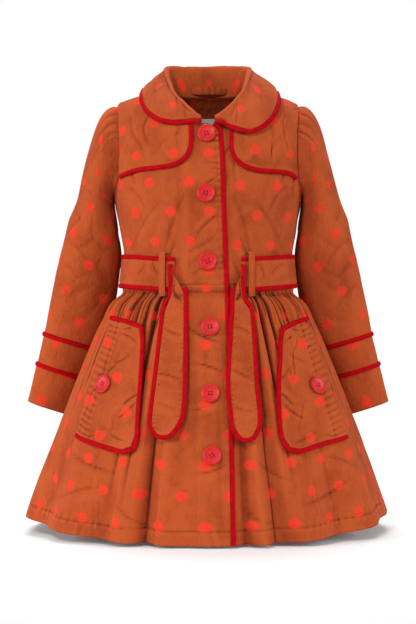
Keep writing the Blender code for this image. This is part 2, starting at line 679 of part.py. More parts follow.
def sleeve_turns():
    """Angles round a sleeve: 0 at its outer side, 90 at its front, 180 underneath."""
    head = np.linspace(-78, 78, HEAD_COLUMNS)
    return np.concatenate([head, np.linspace(78, 282, UNDER_COLUMNS + 2)[1:-1]])


def sleeve_tube(row, turn, side):
    values = [eased(np.asarray(row, float), np.arange(8.0), column) for column in table(SLEEVE_RINGS)]
    x, y, z, half_width, half_depth = [value * MM for value in values[:5]]
    turned, tilt = np.radians(values[5]), np.radians(values[6])
    zero = 0 * x
    out = np.stack([np.cos(tilt), zero, np.sin(tilt)], -1)
    front = np.stack([zero, zero - 1, zero], -1)
    wide = out * np.cos(turned)[..., None] + front * np.sin(turned)[..., None]
    deep = front * np.cos(turned)[..., None] - out * np.sin(turned)[..., None]
    c, s = np.cos(np.radians(turn)), np.sin(np.radians(turn))
    middle = np.stack([x, y, z], -1)
    point = middle + wide * (half_width * c)[..., None] + deep * (half_depth * s)[..., None]
    return point * (side, 1, 1)


def armhole_ring(turns, side):
    """The sleeve's first ring, just inside the armhole and just outside the bodice."""
    around = np.abs((turns + 180) % 360 - 180) / 180
    front = torso(*np.moveaxis(places(ARMHOLE(around)), -1, 0))
    back = torso(*np.moveaxis(places(ARMHOLE(around), back=True), -1, 0))
    ring = np.where((np.sin(np.radians(turns)) > 0)[:, None], front, back)
    inward = ring.mean(axis=0) - ring
    inward /= np.linalg.norm(inward, axis=1, keepdims=True)
    return (ring + inward * (CLOTH + 4 * SEAM) + (2 * SEAM, 0, 0)) * (side, 1, 1)


def sleeve_cap(turns, side):
    start, end = armhole_ring(turns, side), sleeve_tube(CAP_END + 0 * turns, turns, side)
    later = sleeve_tube(CAP_END + 0.3 + 0 * turns, turns, side)
    down = (later - end) / np.linalg.norm(later - end, axis=1, keepdims=True)
    reach = np.linalg.norm(end - start, axis=1, keepdims=True)
    rise = np.cos(np.radians(turns))
    out = np.stack([side + 0 * turns, -0.25 * np.sin(np.radians(turns)), 0.22 * rise], 1)
    rows = []
    for t in np.linspace(0, 1, CAP_ROWS + 1):
        near = start * (1 + 2 * t) * (1 - t) ** 2 + out * reach * CAP_OUT * t * (1 - t) ** 2
        far = end * t * t * (3 - 2 * t) - down * reach * CAP_DOWN * t * t * (1 - t)
        rows.append(near + far)
    return np.array(rows)


def sleeve_wall(name, grid, material=COTTON):
    normals = grid_normals(grid, closed=True)
    middle = grid.mean(axis=1, keepdims=True)
    if np.sum(normals[-1] * (grid - middle)[-1]) < 0:
        normals = -normals
    add_wall(name, grid, grid + normals * CLOTH, material, closed=True)


def add_sleeve(side, name):
    turns = sleeve_turns()
    gap = 0.5 * SEAM / (40 * MM)
    lower = [sleeve_tube(row + 0 * turns, turns, side) for row in (*SLEEVE_ROWS, UPPER_BINDING - gap)]
    grid = np.concatenate([sleeve_cap(turns, side), lower])
    ripple = np.where(np.abs(turns) < 79, (-1.0) ** np.arange(len(turns)), 0) * HEAD_GATHER
    spread = np.array([0.4, 1, 0.8, 0.35])
    around = grid.mean(axis=1, keepdims=True)
    away = (grid - around) / np.linalg.norm(grid - around, axis=2, keepdims=True)
    grid[:4] += away[:4] * ripple[None, :, None] * spread[:, None, None]
    sleeve_wall(f"sleeve_{name}", grid)

    plain = np.linspace(0, 360, 21)[:-1]
    for piece, first, last in (("band", UPPER_BINDING, LOWER_BINDING), ("cuff", LOWER_BINDING, SLEEVE_HEM)):
        rows = (first + gap, last - gap)
        ring = np.array([sleeve_tube(row + 0 * plain, plain, side) for row in rows])
        sleeve_wall(f"sleeve_{piece}_{name}", ring)
    for piece, row in (("upper", UPPER_BINDING), ("lower", LOWER_BINDING)):
        ring = sleeve_tube(row + 0 * plain, plain, side)
        above, below = [sleeve_tube(row + step + 0 * plain, plain, side) for step in (-0.1, 0.1)]
        along = np.roll(ring, -1, 0) - np.roll(ring, 1, 0)
        out = np.cross(along, below - above)
        out /= np.linalg.norm(out, axis=1, keepdims=True)
        if np.sum(out * (ring - ring.mean(axis=0))) < 0:
            out = -out
        path = ring + out * (CLOTH + REST)
        add_strip(f"sleeve_binding_{piece}_{name}", path, out, RED_BINDING, thickness=1.8 * MM, closed=True)


# ---- Belt ----------------------------------------------------------------------------------------

BELT_TOP, BELT_BOTTOM, BELT_DROOP = -231 * MM, -278 * MM, 7 * MM
BELT_FROM_X = 44 * MM  # the belt turns down into its ends this far from the centre
BELT_LIFT = CLOTH + 2.4 * MM
LOOP_X, LOOP_WIDTH = {-1: -59 * MM, 1: 56.3 * MM}, 9 * MM
LOOP_ROUTE = (  # height, lift over the bodice
    (-230, 2.3),
    (-234.3, 5.0),
    (-237.2, 7.2),
    (-286, 7.2),
    (-290, 7.6),
)
BELT_COLUMNS = 35


def add_belt():
    start = float(torso_place(BELT_FROM_X, -255 * MM)[0])
    angle = np.linspace(start, 360 - start, BELT_COLUMNS)
    droop = BELT_DROOP * np.clip(np.cos(np.radians(angle)), 0, 1) ** 2
    top, bottom = BELT_TOP - droop, BELT_BOTTOM - droop
    hidden = BINDING_WIDTH + SEAM
    rows = np.array([bottom + hidden, top - hidden])
    add_layer("belt", torso, angle[None] + 0 * rows, rows, BELT_LIFT, DOUBLE, COTTON)
    for name, height in (("upper", top - BINDING_WIDTH / 2), ("lower", bottom + BINDING_WIDTH / 2)):
        under, over = (lay(torso, angle, height, BELT_LIFT + lift) for lift in (0, MM))
        add_strip(f"belt_binding_{name}", under, (over - under) / MM, RED_BINDING)
    for side, name in ((-1, "right"), (1, "left")):
        heights, lifts = table(LOOP_ROUTE) * MM
        where = torso_place(LOOP_X[side] + 0 * heights, heights)
        under, over = (lay(torso, *where, lifts + lift) for lift in (0, MM))
        add_strip(f"belt_loop_{name}", under, (over - under) / MM, COTTON, LOOP_WIDTH, 1.6 * MM)


# ---- Belt ends -----------------------------------------------------------------------------------

BELT_ENDS = {  # x, z down the outer edge, round the end and up the inner edge
    -1: (
        (-53.6, -247), (-53.8, -288), (-61, -299), (-67, -343), (-71.3, -384), (-77.2, -435), (-79, -455),
        (-73, -470), (-61, -476), (-46, -473), (-33.3, -456), (-28.1, -435), (-26.3, -384), (-26, -343),
        (-25.9, -300), (-27, -281), (-36, -267), (-48, -247),
    ),
    1: (
        (50.5, -247), (50.8, -288), (59, -300), (62, -316), (64.3, -342), (67, -405), (71, -446),
        (69.5, -468), (54, -482), (36, -470), (27, -446), (23, -405), (26, -350),
        (28.6, -310), (30, -284), (36, -266), (46, -247),
    ),
}
END_LIFT = (  # height, how far the end hangs out from the smooth skirt
    (-620, 9.5),
    (-420, 9.0),
    (-360, 7.5),
    (-300, 6.0),
)
OVER_BELT = BELT_LIFT + BINDING_THICKNESS + 2 * REST
END_ROWS = 14
FOLD_POINTS = 2  # the binding stops this many points short of the top, where the belt folds over


def hanging(points):
    """The front-view points of a belt end, set out in front of the belt and the skirt."""
    x, z = points[..., 0], points[..., 1]
    over_belt = lay(torso, *torso_place(x, np.maximum(z, -299 * MM)), OVER_BELT)[..., 1]
    heights, lifts = table(END_LIFT) * MM
    below = np.minimum(z, WAIST - MM)
    over_skirt = skirt(*skirt_place(x, below), gathered=0, folded=0)[..., 1] - np.interp(z, heights, lifts)
    share = ramp(-z, 282 * MM, 300 * MM)
    return np.stack([x, over_belt * (1 - share) + over_skirt * share, z], axis=-1)


def add_belt_ends():
    for side, name in ((-1, "right"), (1, "left")):
        outline = course(np.array(BELT_ENDS[side]) * MM)
        edge = outline(np.linspace(0, 1, 2 * END_ROWS + 1))
        cloth_edge = inset(edge, -side * (BINDING_WIDTH + SEAM))
        across = np.linspace(0, 1, 3)[:, None]
        pairs = zip(cloth_edge[1:END_ROWS], cloth_edge[::-1][1:END_ROWS])
        rows = [outer * (1 - across) + inner * across for outer, inner in pairs]
        grid = hanging(np.array(rows))
        add_wall(f"belt_end_{name}", grid, grid - (0, DOUBLE, 0), COTTON)
        path = hanging(inset(edge, -side * BINDING_WIDTH / 2))[: -FOLD_POINTS]
        facing = np.broadcast_to((0.0, -1.0, 0.0), path.shape)
        add_strip(f"belt_end_binding_{name}", path, facing, RED_BINDING)


# ---- Pockets -------------------------------------------------------------------------------------

POCKETS = {  # x, z along the top, down the inner side and along the lower edge to the outer corner
    -1: ((-129, -317), (-108, -322), (-86, -331), (-82.5, -345), (-83, -376), (-84, -405), (-86.7, -456),
         (-90, -487), (-108, -497), (-140, -491), (-174, -480)),
    1: ((132.7, -318.5), (114, -324), (97, -333), (92.5, -346), (91, -374), (88.2, -405), (88.6, -446),
        (93, -480), (109, -496.5), (145, -491), (182, -482.5)),
}
POCKET_TOP_SHARE, POCKET_SIDE_SHARE = 0.16, 0.71  # the shares of the outline at its two corners
POCKET_LIFT = CLOTH + 1.9 * MM


def ungathered_skirt(angle, drop):
    return skirt(angle, drop, gathered=0)


def on_skirt(points, lift):
    angle, drop = skirt_place(points[..., 0], points[..., 1])
    return lay(ungathered_skirt, angle, drop, lift, outward=-1)


def add_pockets():
    for side, name in ((-1, "right"), (1, "left")):
        outline = course(np.array(POCKETS[side]) * MM)
        shares = np.concatenate([
            np.linspace(0, POCKET_TOP_SHARE, 6)[:-1],
            np.linspace(POCKET_TOP_SHARE, POCKET_SIDE_SHARE, 10)[:-1],
            np.linspace(POCKET_SIDE_SHARE, 1, 6),
        ])
        edge = outline(shares)
        cloth_edge = inset(edge, side * (BINDING_WIDTH + SEAM))
        top, inner, lower = cloth_edge[:6], cloth_edge[5:15][::-1], cloth_edge[14:][::-1]
        outer = np.linspace(lower[0], top[0], 10)
        grid = coons(lower, top, outer, inner)
        add_wall(f"pocket_{name}", on_skirt(grid, POCKET_LIFT), on_skirt(grid, POCKET_LIFT + CLOTH), COTTON)
        middle = inset(edge, side * BINDING_WIDTH / 2)
        under, over = on_skirt(middle, POCKET_LIFT), on_skirt(middle, POCKET_LIFT + MM)
        add_strip(f"pocket_binding_{name}", under, (over - under) / MM, RED_BINDING)


# ---- Front edge binding --------------------------------------------------------------------------


def add_front_edge_binding():
    heights, edge_x = table(FRONT_EDGE) * MM
    rows = np.array((-58, -62, *EDGE_ROWS[::-1])) * MM
    where = torso_place(np.interp(rows, heights, edge_x), rows)
    drops = np.array(SKIRT_ROWS[1:])
    below = front_edge_angle(drops, lambda z: np.interp(z, heights, edge_x)), drops
    parts = []
    for lift in (0, MM):
        upper = lay(torso, *where, OVERLAP_LIFT + lift)
        parts.append(np.vstack([upper, lay(skirt, *below, OVERLAP_LIFT + lift, outward=-1)]))
    add_strip("front_edge_binding", parts[0], (parts[1] - parts[0]) / MM, RED_BINDING)


# ---- Buttons -------------------------------------------------------------------------------------

FRONT_BUTTONS = ((-2, -73), (-3, -152), (-0.5, -243), (2.6, -332), (3, -418), (5, -497))  # x, z
POCKET_BUTTONS = {-1: (-136, -409), 1: (143, -410)}
BUTTON_PROFILE = (  # radius and height as shares of the button's width
    (0.40, 0.0),
    (0.50, 0.06),
    (0.45, 0.16),
    (0.34, 0.12),
)
BUTTON_STAND_OFF = 0.8 * MM
BUTTON_SIDES, HOLE_SPACING, HOLE_RADIUS = 14, 3.8 * MM, 1.0 * MM


def button_mesh():
    """A round button with a raised rim, and four holes drilled through its dished middle."""
    turns = np.linspace(0, 2 * math.pi, BUTTON_SIDES, endpoint=False)
    verts, faces = [], []
    for radius, height in BUTTON_PROFILE:
        for turn in turns:
            verts.append((radius * math.cos(turn), radius * math.sin(turn), height))
    for ring in range(len(BUTTON_PROFILE) - 1):
        for k in range(BUTTON_SIDES):
            a, b = ring * BUTTON_SIDES + k, ring * BUTTON_SIDES + (k + 1) % BUTTON_SIDES
            faces.append((a, b, b + BUTTON_SIDES, a + BUTTON_SIDES))
    faces.append(tuple(range(BUTTON_SIDES))[::-1])
    faces.append(tuple(range(len(verts) - BUTTON_SIDES, len(verts))))
    blank = add_solid("button_blank", np.array(verts) * BUTTON_WIDTH, faces, RED_PLASTIC)
    drill = bmesh.new()
    for x, y in ((-1, -1), (-1, 1), (1, -1), (1, 1)):
        made = bmesh.ops.create_cone(
            drill, cap_ends=True, segments=4, radius1=HOLE_RADIUS, radius2=HOLE_RADIUS, depth=BUTTON_WIDTH
        )
        bmesh.ops.translate(drill, verts=made["verts"], vec=(x * HOLE_SPACING / 2, y * HOLE_SPACING / 2, 0))
    drill_mesh = bpy.data.meshes.new("button_drill")
    drill.to_mesh(drill_mesh)
    drill.free()
    cutter = bpy.data.objects.new("button_drill", drill_mesh)
    bpy.context.scene.collection.objects.link(cutter)
    cut = blank.modifiers.new("holes", "BOOLEAN")
    cut.operation, cut.object = "DIFFERENCE", cutter
    mesh = bpy.data.meshes.new_from_object(blank.evaluated_get(bpy.context.evaluated_depsgraph_get()))
    for used in (blank, cutter):
        bpy.data.objects.remove(used)
    return mesh


def add_button(name, mesh, under, normal):
    button = bpy.data.objects.new(name, mesh)
    bpy.context.scene.collection.objects.link(button)
    button.rotation_mode = "QUATERNION"
    button.rotation_quaternion = Vector(normal).to_track_quat("Z", "Y")
    button.location = under


def add_buttons():
    mesh = button_mesh()
    for number, (x, z) in enumerate(FRONT_BUTTONS, 1):
        x, z = x * MM, z * MM
        on_bodice = z > WAIST
        surface, sign = (torso, 1) if on_bodice else (skirt, -1)
        where = torso_place(x, z) if on_bodice else skirt_place(x, z)
        under = OVERLAP_LIFT + CLOTH + BUTTON_STAND_OFF
        low, high = (lay(surface, *where, under + lift, sign) for lift in (0, MM))
        add_button(f"button_{number}", mesh, low, high - low)
    for side, name in ((-1, "right"), (1, "left")):
        point = np.array(POCKET_BUTTONS[side]) * MM
        low, high = (on_skirt(point, POCKET_LIFT + CLOTH + BUTTON_STAND_OFF + lift) for lift in (0, MM))
        add_button(f"pocket_button_{name}", mesh, low, high - low)


# ---- Inside the back neck ------------------------------------------------------------------------

FACING_FOOT = -31 * MM
FACING_HALF_WIDTH = 46 * MM
PATCH_LEFT, PATCH_RIGHT, PATCH_FOOT = -16 * MM, 23 * MM, -62 * MM
INSIDE_THICKNESS, INSIDE_LIFT = 0.8 * MM, 3 * MM
LOOP_HALF_LENGTH, LOOP_HEIGHT, LOOP_STAND_OFF = 25 * MM, 10.5 * MM, 6 * MM
LOOP_MIDDLE = (2 * MM, 28 * MM, 3 * MM)


def add_inside_neck():
    x = np.linspace(-FACING_HALF_WIDTH, FACING_HALF_WIDTH, 13)
    neck = BACK_NECKLINE(np.linspace(0, 1, 40))[::-1]
    top = np.interp(np.abs(x), neck[:, 0], neck[:, 1]) - 1.5 * MM
    rows = np.array([FACING_FOOT + share * (top - FACING_FOOT) for share in (0, 0.35, 0.7, 1)])
    where = torso_place(np.broadcast_to(x, rows.shape), rows, back=True)
    add_layer("neck_facing", torso, *where, -INSIDE_LIFT, INSIDE_THICKNESS, COTTON)
    x, z = np.meshgrid(np.linspace(PATCH_LEFT, PATCH_RIGHT, 5), np.linspace(PATCH_FOOT, FACING_FOOT - SEAM, 4))
    add_layer("neck_patch", torso, *torso_place(x, z, back=True), -INSIDE_LIFT, INSIDE_THICKNESS, PALE_LINING)
    share = np.linspace(-1, 1, 11)
    middle_x, middle_y, middle_z = LOOP_MIDDLE
    y = middle_y + LOOP_STAND_OFF * (np.abs(share) ** 3)
    path = np.stack([middle_x + LOOP_HALF_LENGTH * share, y, middle_z + 0 * share], 1)
    facing = np.broadcast_to((0.0, -1.0, 0.0), path.shape)
    add_strip("hanger_loop", path, facing, COTTON, LOOP_HEIGHT, 1.6 * MM)


for build in (add_bodice, add_skirt, add_collar, add_flaps, add_belt, add_belt_ends):
    build()
for hand, which in ((-1, "right"), (1, "left")):
    add_sleeve(hand, which)
for build in (add_pockets, add_front_edge_binding, add_buttons, add_inside_neck):
    build()
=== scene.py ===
"""A girl's trench-style coat in dotted cotton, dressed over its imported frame.

Metres, +Z up; the coat faces -Y and its right side is at -X. Tables are in millimetres and degrees.
"""

import json
import math

import bmesh
import bpy
import numpy as np
from mathutils import Matrix, Vector
from mathutils.bvhtree import BVHTree

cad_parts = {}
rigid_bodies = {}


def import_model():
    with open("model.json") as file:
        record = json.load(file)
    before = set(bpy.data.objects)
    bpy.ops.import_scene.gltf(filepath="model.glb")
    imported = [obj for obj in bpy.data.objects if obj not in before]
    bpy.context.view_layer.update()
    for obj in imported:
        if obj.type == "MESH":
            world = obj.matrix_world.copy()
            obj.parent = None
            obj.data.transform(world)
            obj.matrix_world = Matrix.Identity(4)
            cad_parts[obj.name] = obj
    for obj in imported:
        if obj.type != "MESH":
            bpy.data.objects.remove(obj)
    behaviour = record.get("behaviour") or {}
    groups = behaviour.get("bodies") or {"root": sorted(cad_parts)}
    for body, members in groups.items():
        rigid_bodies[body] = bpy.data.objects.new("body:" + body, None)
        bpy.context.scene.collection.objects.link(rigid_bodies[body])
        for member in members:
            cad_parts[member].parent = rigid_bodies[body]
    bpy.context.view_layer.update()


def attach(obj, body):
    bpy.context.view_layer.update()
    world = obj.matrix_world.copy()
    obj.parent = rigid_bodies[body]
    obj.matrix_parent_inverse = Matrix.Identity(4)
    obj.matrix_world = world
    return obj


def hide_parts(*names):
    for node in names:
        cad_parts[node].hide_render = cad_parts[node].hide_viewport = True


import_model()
MM = 0.001

# ---- Back bodice ---------------------------------------------------------------------------------
# The back is one piece of dotted cotton from the waist seam to the shoulders, cut in at the armholes.
# It is sewn to the fronts at the sides and shoulders, and it hangs in soft uneven hollows.

CLOTH = 1.2 * MM
SEAM = 0.3 * MM
WAIST, UNDERARM, CURL_LEVEL = -274 * MM, -152 * MM, -110 * MM
TORSO_RINGS = (  # level, half_width, front_depth, back_depth
    (-300, 121, 89, 83),
    (-274, 119, 88, 82),
    (-235, 116, 86, 80),
    (-190, 123, 89, 83),
    (-152, 130, 91, 86),
    (-110, 129, 88, 84),
)
TORSO_ROUNDNESS, FRONT_CURL, BACK_CURL = 2.3, 1.9, 2.2
SHOULDER_Y, SIDE_NECK_X, SHOULDER_TIP_X = 4 * MM, 60 * MM, 125 * MM
BACK_NECK_POINTS = ((60, 0), (50, -4), (32, -6.5), (0, -7.5))  # x, z
ARMHOLE_POINTS = ((125, -24), (121, -60), (120, -100), (123, -130), (130, -152))


def eased(x, xs, ys):
    """A smooth curve through a table's rows, read at x; it stays level past both ends."""
    slopes = np.gradient(ys, xs)
    k = np.clip(np.searchsorted(xs, x, side="right") - 1, 0, len(xs) - 2)
    span = xs[k + 1] - xs[k]
    s = np.clip((x - xs[k]) / span, 0, 1)
    near = ys[k] * (1 + 2 * s) * (1 - s) ** 2 + slopes[k] * span * s * (1 - s) ** 2
    return near + ys[k + 1] * s * s * (3 - 2 * s) + slopes[k + 1] * span * s * s * (s - 1)


def finer(values, at):
    """A table of points read smoothly between its rows, at fractions of a row."""
    slopes = np.gradient(values, axis=0)
    k = np.clip(at.astype(int), 0, len(values) - 2)
    s = (at - k).reshape(-1, *[1] * (values.ndim - 1))
    near = values[k] * (1 + 2 * s) * (1 - s) ** 2 + slopes[k] * s * (1 - s) ** 2
    return near + values[k + 1] * s * s * (3 - 2 * s) + slopes[k + 1] * s * s * (s - 1)


def finer_grid(grid, at):
    """A grid of points read smoothly between its rows and between its columns."""
    return np.moveaxis(finer(np.moveaxis(finer(grid, at[0]), 1, 0), at[1]), 1, 0)


def rows_of(count, times):
    """Fractions of a row, with a few more close to both ends, where a cut edge is turned in."""
    last = (count - 1) * times
    inner = np.arange(1, last)
    return np.concatenate([[0, 0.25, 0.6], inner, [last - 0.6, last - 0.25, last]]) / times


def unit(vectors):
    return vectors / np.linalg.norm(vectors, axis=-1, keepdims=True)


def run_along(path):
    """How far each point of a path is from its start, along the path."""
    return np.append(0, np.cumsum(np.linalg.norm(np.diff(path, axis=0), axis=1)))


def course(points, steps=12):
    """A smooth curve through the points, as a function of the share of its length."""
    p = np.array(points, float)
    q = np.vstack([2 * p[0] - p[1], p, 2 * p[-1] - p[-2]])
    t = np.linspace(0, 1, steps, endpoint=False)[:, None]
    spans = [
        b + (c - a) * t / 2 + (a - 2.5 * b + 2 * c - d / 2) * t**2 + (1.5 * (b - c) + (d - a) / 2) * t**3
        for a, b, c, d in zip(q, q[1:], q[2:], q[3:])
    ]
    fine = np.vstack(spans + [p[-1:]])
    run = run_along(fine)
    return lambda u: np.stack([np.interp(u, run / run[-1], column) for column in fine.T], axis=-1)


def bump(x, centre, width):
    return np.exp(-(((x - centre) / width) ** 2))


def ramp(x, start, end):
    s = np.clip((x - start) / (end - start), 0, 1)
    return s * s * (3 - 2 * s)


def ring_point(angle, half_width, front_depth, back_depth, roundness):
    s, c = np.sin(np.radians(angle)), np.cos(np.radians(angle))
    depth = np.where(c > 0, front_depth, back_depth)
    x = half_width * np.sign(s) * np.abs(s) ** (2 / roundness)
    return x, -depth * np.sign(c) * np.abs(c) ** (2 / roundness)


def shoulder_height(x):
    return -0.369 * np.maximum(np.abs(x) - SIDE_NECK_X, 0)


TORSO = np.array(TORSO_RINGS, float).T * MM


def torso(angle, level):
    """The bodice's inner face. Levels are heights up to CURL_LEVEL, and 0 is the shoulder line."""
    low = np.minimum(level, CURL_LEVEL)
    x, y = ring_point(angle, *[eased(low, TORSO[0], column) for column in TORSO[1:]], TORSO_ROUNDNESS)
    f = np.clip((level - CURL_LEVEL) / -CURL_LEVEL, 0, 1)
    curl = np.where(np.cos(np.radians(angle)) > 0, FRONT_CURL, BACK_CURL)
    reach = (f**curl + (1 - f) ** curl) ** (1 / curl)
    z = low + (shoulder_height(x) - CURL_LEVEL) * f / reach
    return np.stack([x, SHOULDER_Y + (y - SHOULDER_Y) * (1 - f) / reach, z], axis=-1)


def torso_place(x, z, back=False):
    """The angle and level where the bodice passes through x and z, on its front or its back."""
    x, z = np.asarray(x, float), np.asarray(z, float)
    curl = BACK_CURL if back else FRONT_CURL
    up = np.clip((z - CURL_LEVEL) / (shoulder_height(x) - CURL_LEVEL), 0, 1)
    level = np.where(z > CURL_LEVEL, CURL_LEVEL * (1 - up / (up + (1 - up**curl) ** (1 / curl))), z)
    half_width = eased(np.minimum(z, CURL_LEVEL), TORSO[0], TORSO[1])
    angle = np.degrees(np.arcsin(np.clip(np.abs(x) / half_width, 0, 1) ** (TORSO_ROUNDNESS / 2)))
    return np.where(x < 0, -1, 1) * (180 - angle if back else angle), level


def places(points, place=torso_place, **how):
    return np.stack(place(points[..., 0], points[..., 1], **how), axis=-1)


def lay(surface, a, b, lift=0.0, outward=1):
    """Points at a height over a surface, along its outward normal, and the normals."""
    a, b = np.broadcast_arrays(np.asarray(a, float), np.asarray(b, float))
    along = surface(a + 0.05, b) - surface(a - 0.05, b)
    up = surface(a, b + 0.0004) - surface(a, b - 0.0004)
    normal = unit(outward * np.cross(along, up))
    return surface(a, b) + normal * np.asarray(lift)[..., None], normal


def coons(bottom, top, left, right):
    """A grid between four edges; rows run from bottom to top, columns from left to right."""
    u = np.linspace(0, 1, len(bottom))[None, :, None]
    v = np.linspace(0, 1, len(left))[:, None, None]
    ruled = (1 - v) * bottom[None] + v * top[None] + (1 - u) * left[:, None] + u * right[:, None]
    return ruled - (1 - v) * ((1 - u) * bottom[0] + u * bottom[-1]) - v * ((1 - u) * top[0] + u * top[-1])


def drift(points, size, seed):
    """Slow unevenness between -1 and 1, about size metres from one swell to the next."""
    ways = np.random.default_rng(seed).normal(0, 1, (6, 3))
    waves = [np.sin(points @ (way * 2 * math.pi / size / 1.7) + 3 * k) for k, way in enumerate(ways)]
    return sum(waves) / 3


def crease(off, half_width):
    """The profile of a crease: a soft edge at its bottom and sides that flatten slowly."""
    soft = 0.22 * half_width
    return np.exp((soft - np.hypot(off, soft)) / (0.55 * half_width))


def folds(points, rows, back=False):
    """Soft troughs and ridges between two places in the front view, each with a lower swell beside it."""
    out = np.zeros(points.shape[:-1])
    x, z = points[..., 0] / MM, points[..., 2] / MM
    for x0, z0, x1, z1, half_width, depth, bow in rows:
        length = math.hypot(x1 - x0, z1 - z0)
        ax, az = (x1 - x0) / length, (z1 - z0) / length
        t = ((x - x0) * ax + (z - z0) * az) / length
        taper = np.clip(4 * t * (1 - t), 0, 1)
        off = (x - x0) * az - (z - z0) * ax - bow * taper
        trough = crease(off, half_width)
        out += depth * taper**0.7 * (trough - 0.5 * bump(off, 1.7 * half_width, half_width))
    side = points[..., 1] > 0 if back else points[..., 1] < 10 * MM
    return out * side * MM


def rumple(points, size, depth, seed, stretch=(1, 1, 0.32)):
    """Wandering creases that come and go, as washed cotton has, about size metres apart."""
    places_at = points * stretch
    wander = drift(places_at, size, seed) + 0.3 * drift(places_at, size / 2.7, seed + 1)
    there = ramp(drift(places_at, 1.3 * size, seed + 2), -0.1, 0.9)
    return depth * there * (0.4 - crease(wander, 0.42))


def grid_normals(grid, closed=False):
    down = np.gradient(grid, axis=0)
    around = (np.roll(grid, -1, 1) - np.roll(grid, 1, 1)) / 2 if closed else np.gradient(grid, axis=1)
    return unit(np.cross(around, down))


def normals_like(points, outward):
    """A grid's own normals, on the side that the given ones point to."""
    normals = grid_normals(points)
    return -normals if np.sum(normals * outward) < 0 else normals


HOLLOW_REACH, HOLLOW_DEPTH, CLOSEST_SPAN = 3.0 * MM, 2.0 * MM, 0.4 * MM


def pinch(at, amount=0.45):
    """The share of its thickness that cloth keeps near a turned edge."""
    from_edge = np.minimum(at - at[0], at[-1] - at) * (len(at) - 5) / (at[-1] - at[0])
    return 1 - amount * np.exp(-((from_edge / 0.55) ** 2))


def hollows(points, normals):
    """Where cloth dips, from -1 on a ridge to 1 in a crease, judged over a few millimetres; the cotton turns
    it into painted shade in creases and painted light on ridges.
    """
    total = np.zeros(points.shape[:2])
    for axis in (0, 1):
        count = points.shape[axis]
        step = np.mean(np.linalg.norm(np.diff(points, axis=axis), axis=-1))
        reach = max(1, round(HOLLOW_REACH / step))
        k = np.arange(count)
        before, after = np.maximum(k - reach, 0), np.minimum(k + reach, count - 1)
        back, ahead = points.take(before, axis) - points, points.take(after, axis) - points
        span = (np.linalg.norm(back, axis=-1) + np.linalg.norm(ahead, axis=-1)) / 2
        whole = after - before == 2 * reach
        whole = whole[:, None] if axis == 0 else whole[None]
        spread = (HOLLOW_REACH / np.maximum(span, CLOSEST_SPAN)) ** 2
        total += whole * np.sum((back + ahead) * normals, axis=-1) * spread
    return np.clip(total / HOLLOW_DEPTH, -1, 1)


def dressed(name, node, mesh, sharp_from):
    """A piece of the coat in place of a frame node, smooth but for edges sharper than an angle."""
    mesh.shade_smooth()
    mesh.set_sharp_from_angle(angle=math.radians(sharp_from))
    piece = bpy.data.objects.new(name, mesh)
    bpy.context.scene.collection.objects.link(piece)
    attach(piece, "root")
    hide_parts(node)
    return piece


def cloth_mesh(name, points, faces, uv, material, painted_crease_shade):
    """A mesh with its faces outwards; uv has a row for each corner of each face."""
    points, faces = np.asarray(points, float), np.asarray(faces)
    a, b, c = (points[faces[:, k]] for k in range(3))
    if np.sum(a * np.cross(b, c)) + np.sum(a * np.cross(c, points[faces[:, -1]])) < 0:
        faces, uv = faces[:, ::-1], uv[:, ::-1]
    mesh = bpy.data.meshes.new(name)
    mesh.from_pydata(points.tolist(), [], faces.tolist())
    mesh.uv_layers.new(name="cut").data.foreach_set("uv", np.asarray(uv, np.float32).ravel())
    # A crease measure for each point, which the cotton reads as painted shade and painted light.
    mesh.attributes.new("painted_crease_shade", "FLOAT", "POINT").data.foreach_set("value", painted_crease_shade.astype(np.float32))
    mesh.materials.append(material)
    return mesh


def cloth_piece(node, under, normals, uv, material, thick=CLOTH, *, at, closed=False, dip=0):
    """Two faces of cloth and the turned edges between them, from points on the inner face; dip adds painted
    shade to the cloth's colour.
    """
    rows, cols = under.shape[:2]
    full = pinch(at[0])[:, None] * (1 if closed else pinch(at[1]))
    inner = under + normals * (thick * (1 - full) * 0.5)[..., None]
    outer = under + normals * (thick * (1 + full) * 0.5)[..., None]
    points = np.concatenate([outer.reshape(-1, 3), inner.reshape(-1, 3)])
    back = rows * cols
    span = cols if closed else cols - 1
    r, c = (index.ravel() for index in np.meshgrid(np.arange(rows - 1), np.arange(span), indexing="ij"))
    corner = [(r, c), (r, c + 1), (r + 1, c + 1), (r + 1, c)]
    quad = np.stack([i * cols + j % cols for i, j in corner], 1)
    flat = np.stack([uv[i, j] for i, j in corner], 1)
    faces, cuts = [quad, quad[:, ::-1] + back], [flat, flat[:, ::-1]]
    rims = [(np.full(span, k), np.arange(span), 0, 1, k > 0) for k in (0, rows - 1)]
    if not closed:
        rims += [(np.arange(rows - 1), np.full(rows - 1, k), 1, 0, k == 0) for k in (0, cols - 1)]
    for i, j, di, dj, turned in rims:
        first, second = i * cols + j, (i + di) * cols + (j + dj) % cols
        rim = np.stack([second, first, first + back, second + back], 1)
        cut = np.stack([uv[i + di, j + dj], uv[i, j], uv[i, j], uv[i + di, j + dj]], 1)
        faces.append(rim[:, ::-1] if turned else rim)
        cuts.append(cut[:, ::-1] if turned else cut)
    # The crease measure kept on the mesh sets the cotton's painted shade in creases and painted light on
    # ridges.
    painted_crease_shade = np.concatenate([np.clip(hollows(outer, normals) + dip, -1, 1).ravel(), np.zeros(back)])
    mesh = cloth_mesh(f"{node}_cloth", points, np.vstack(faces), np.vstack(cuts), material, painted_crease_shade)
    return dressed(f"{node}_cloth", node, mesh, sharp_from=60)


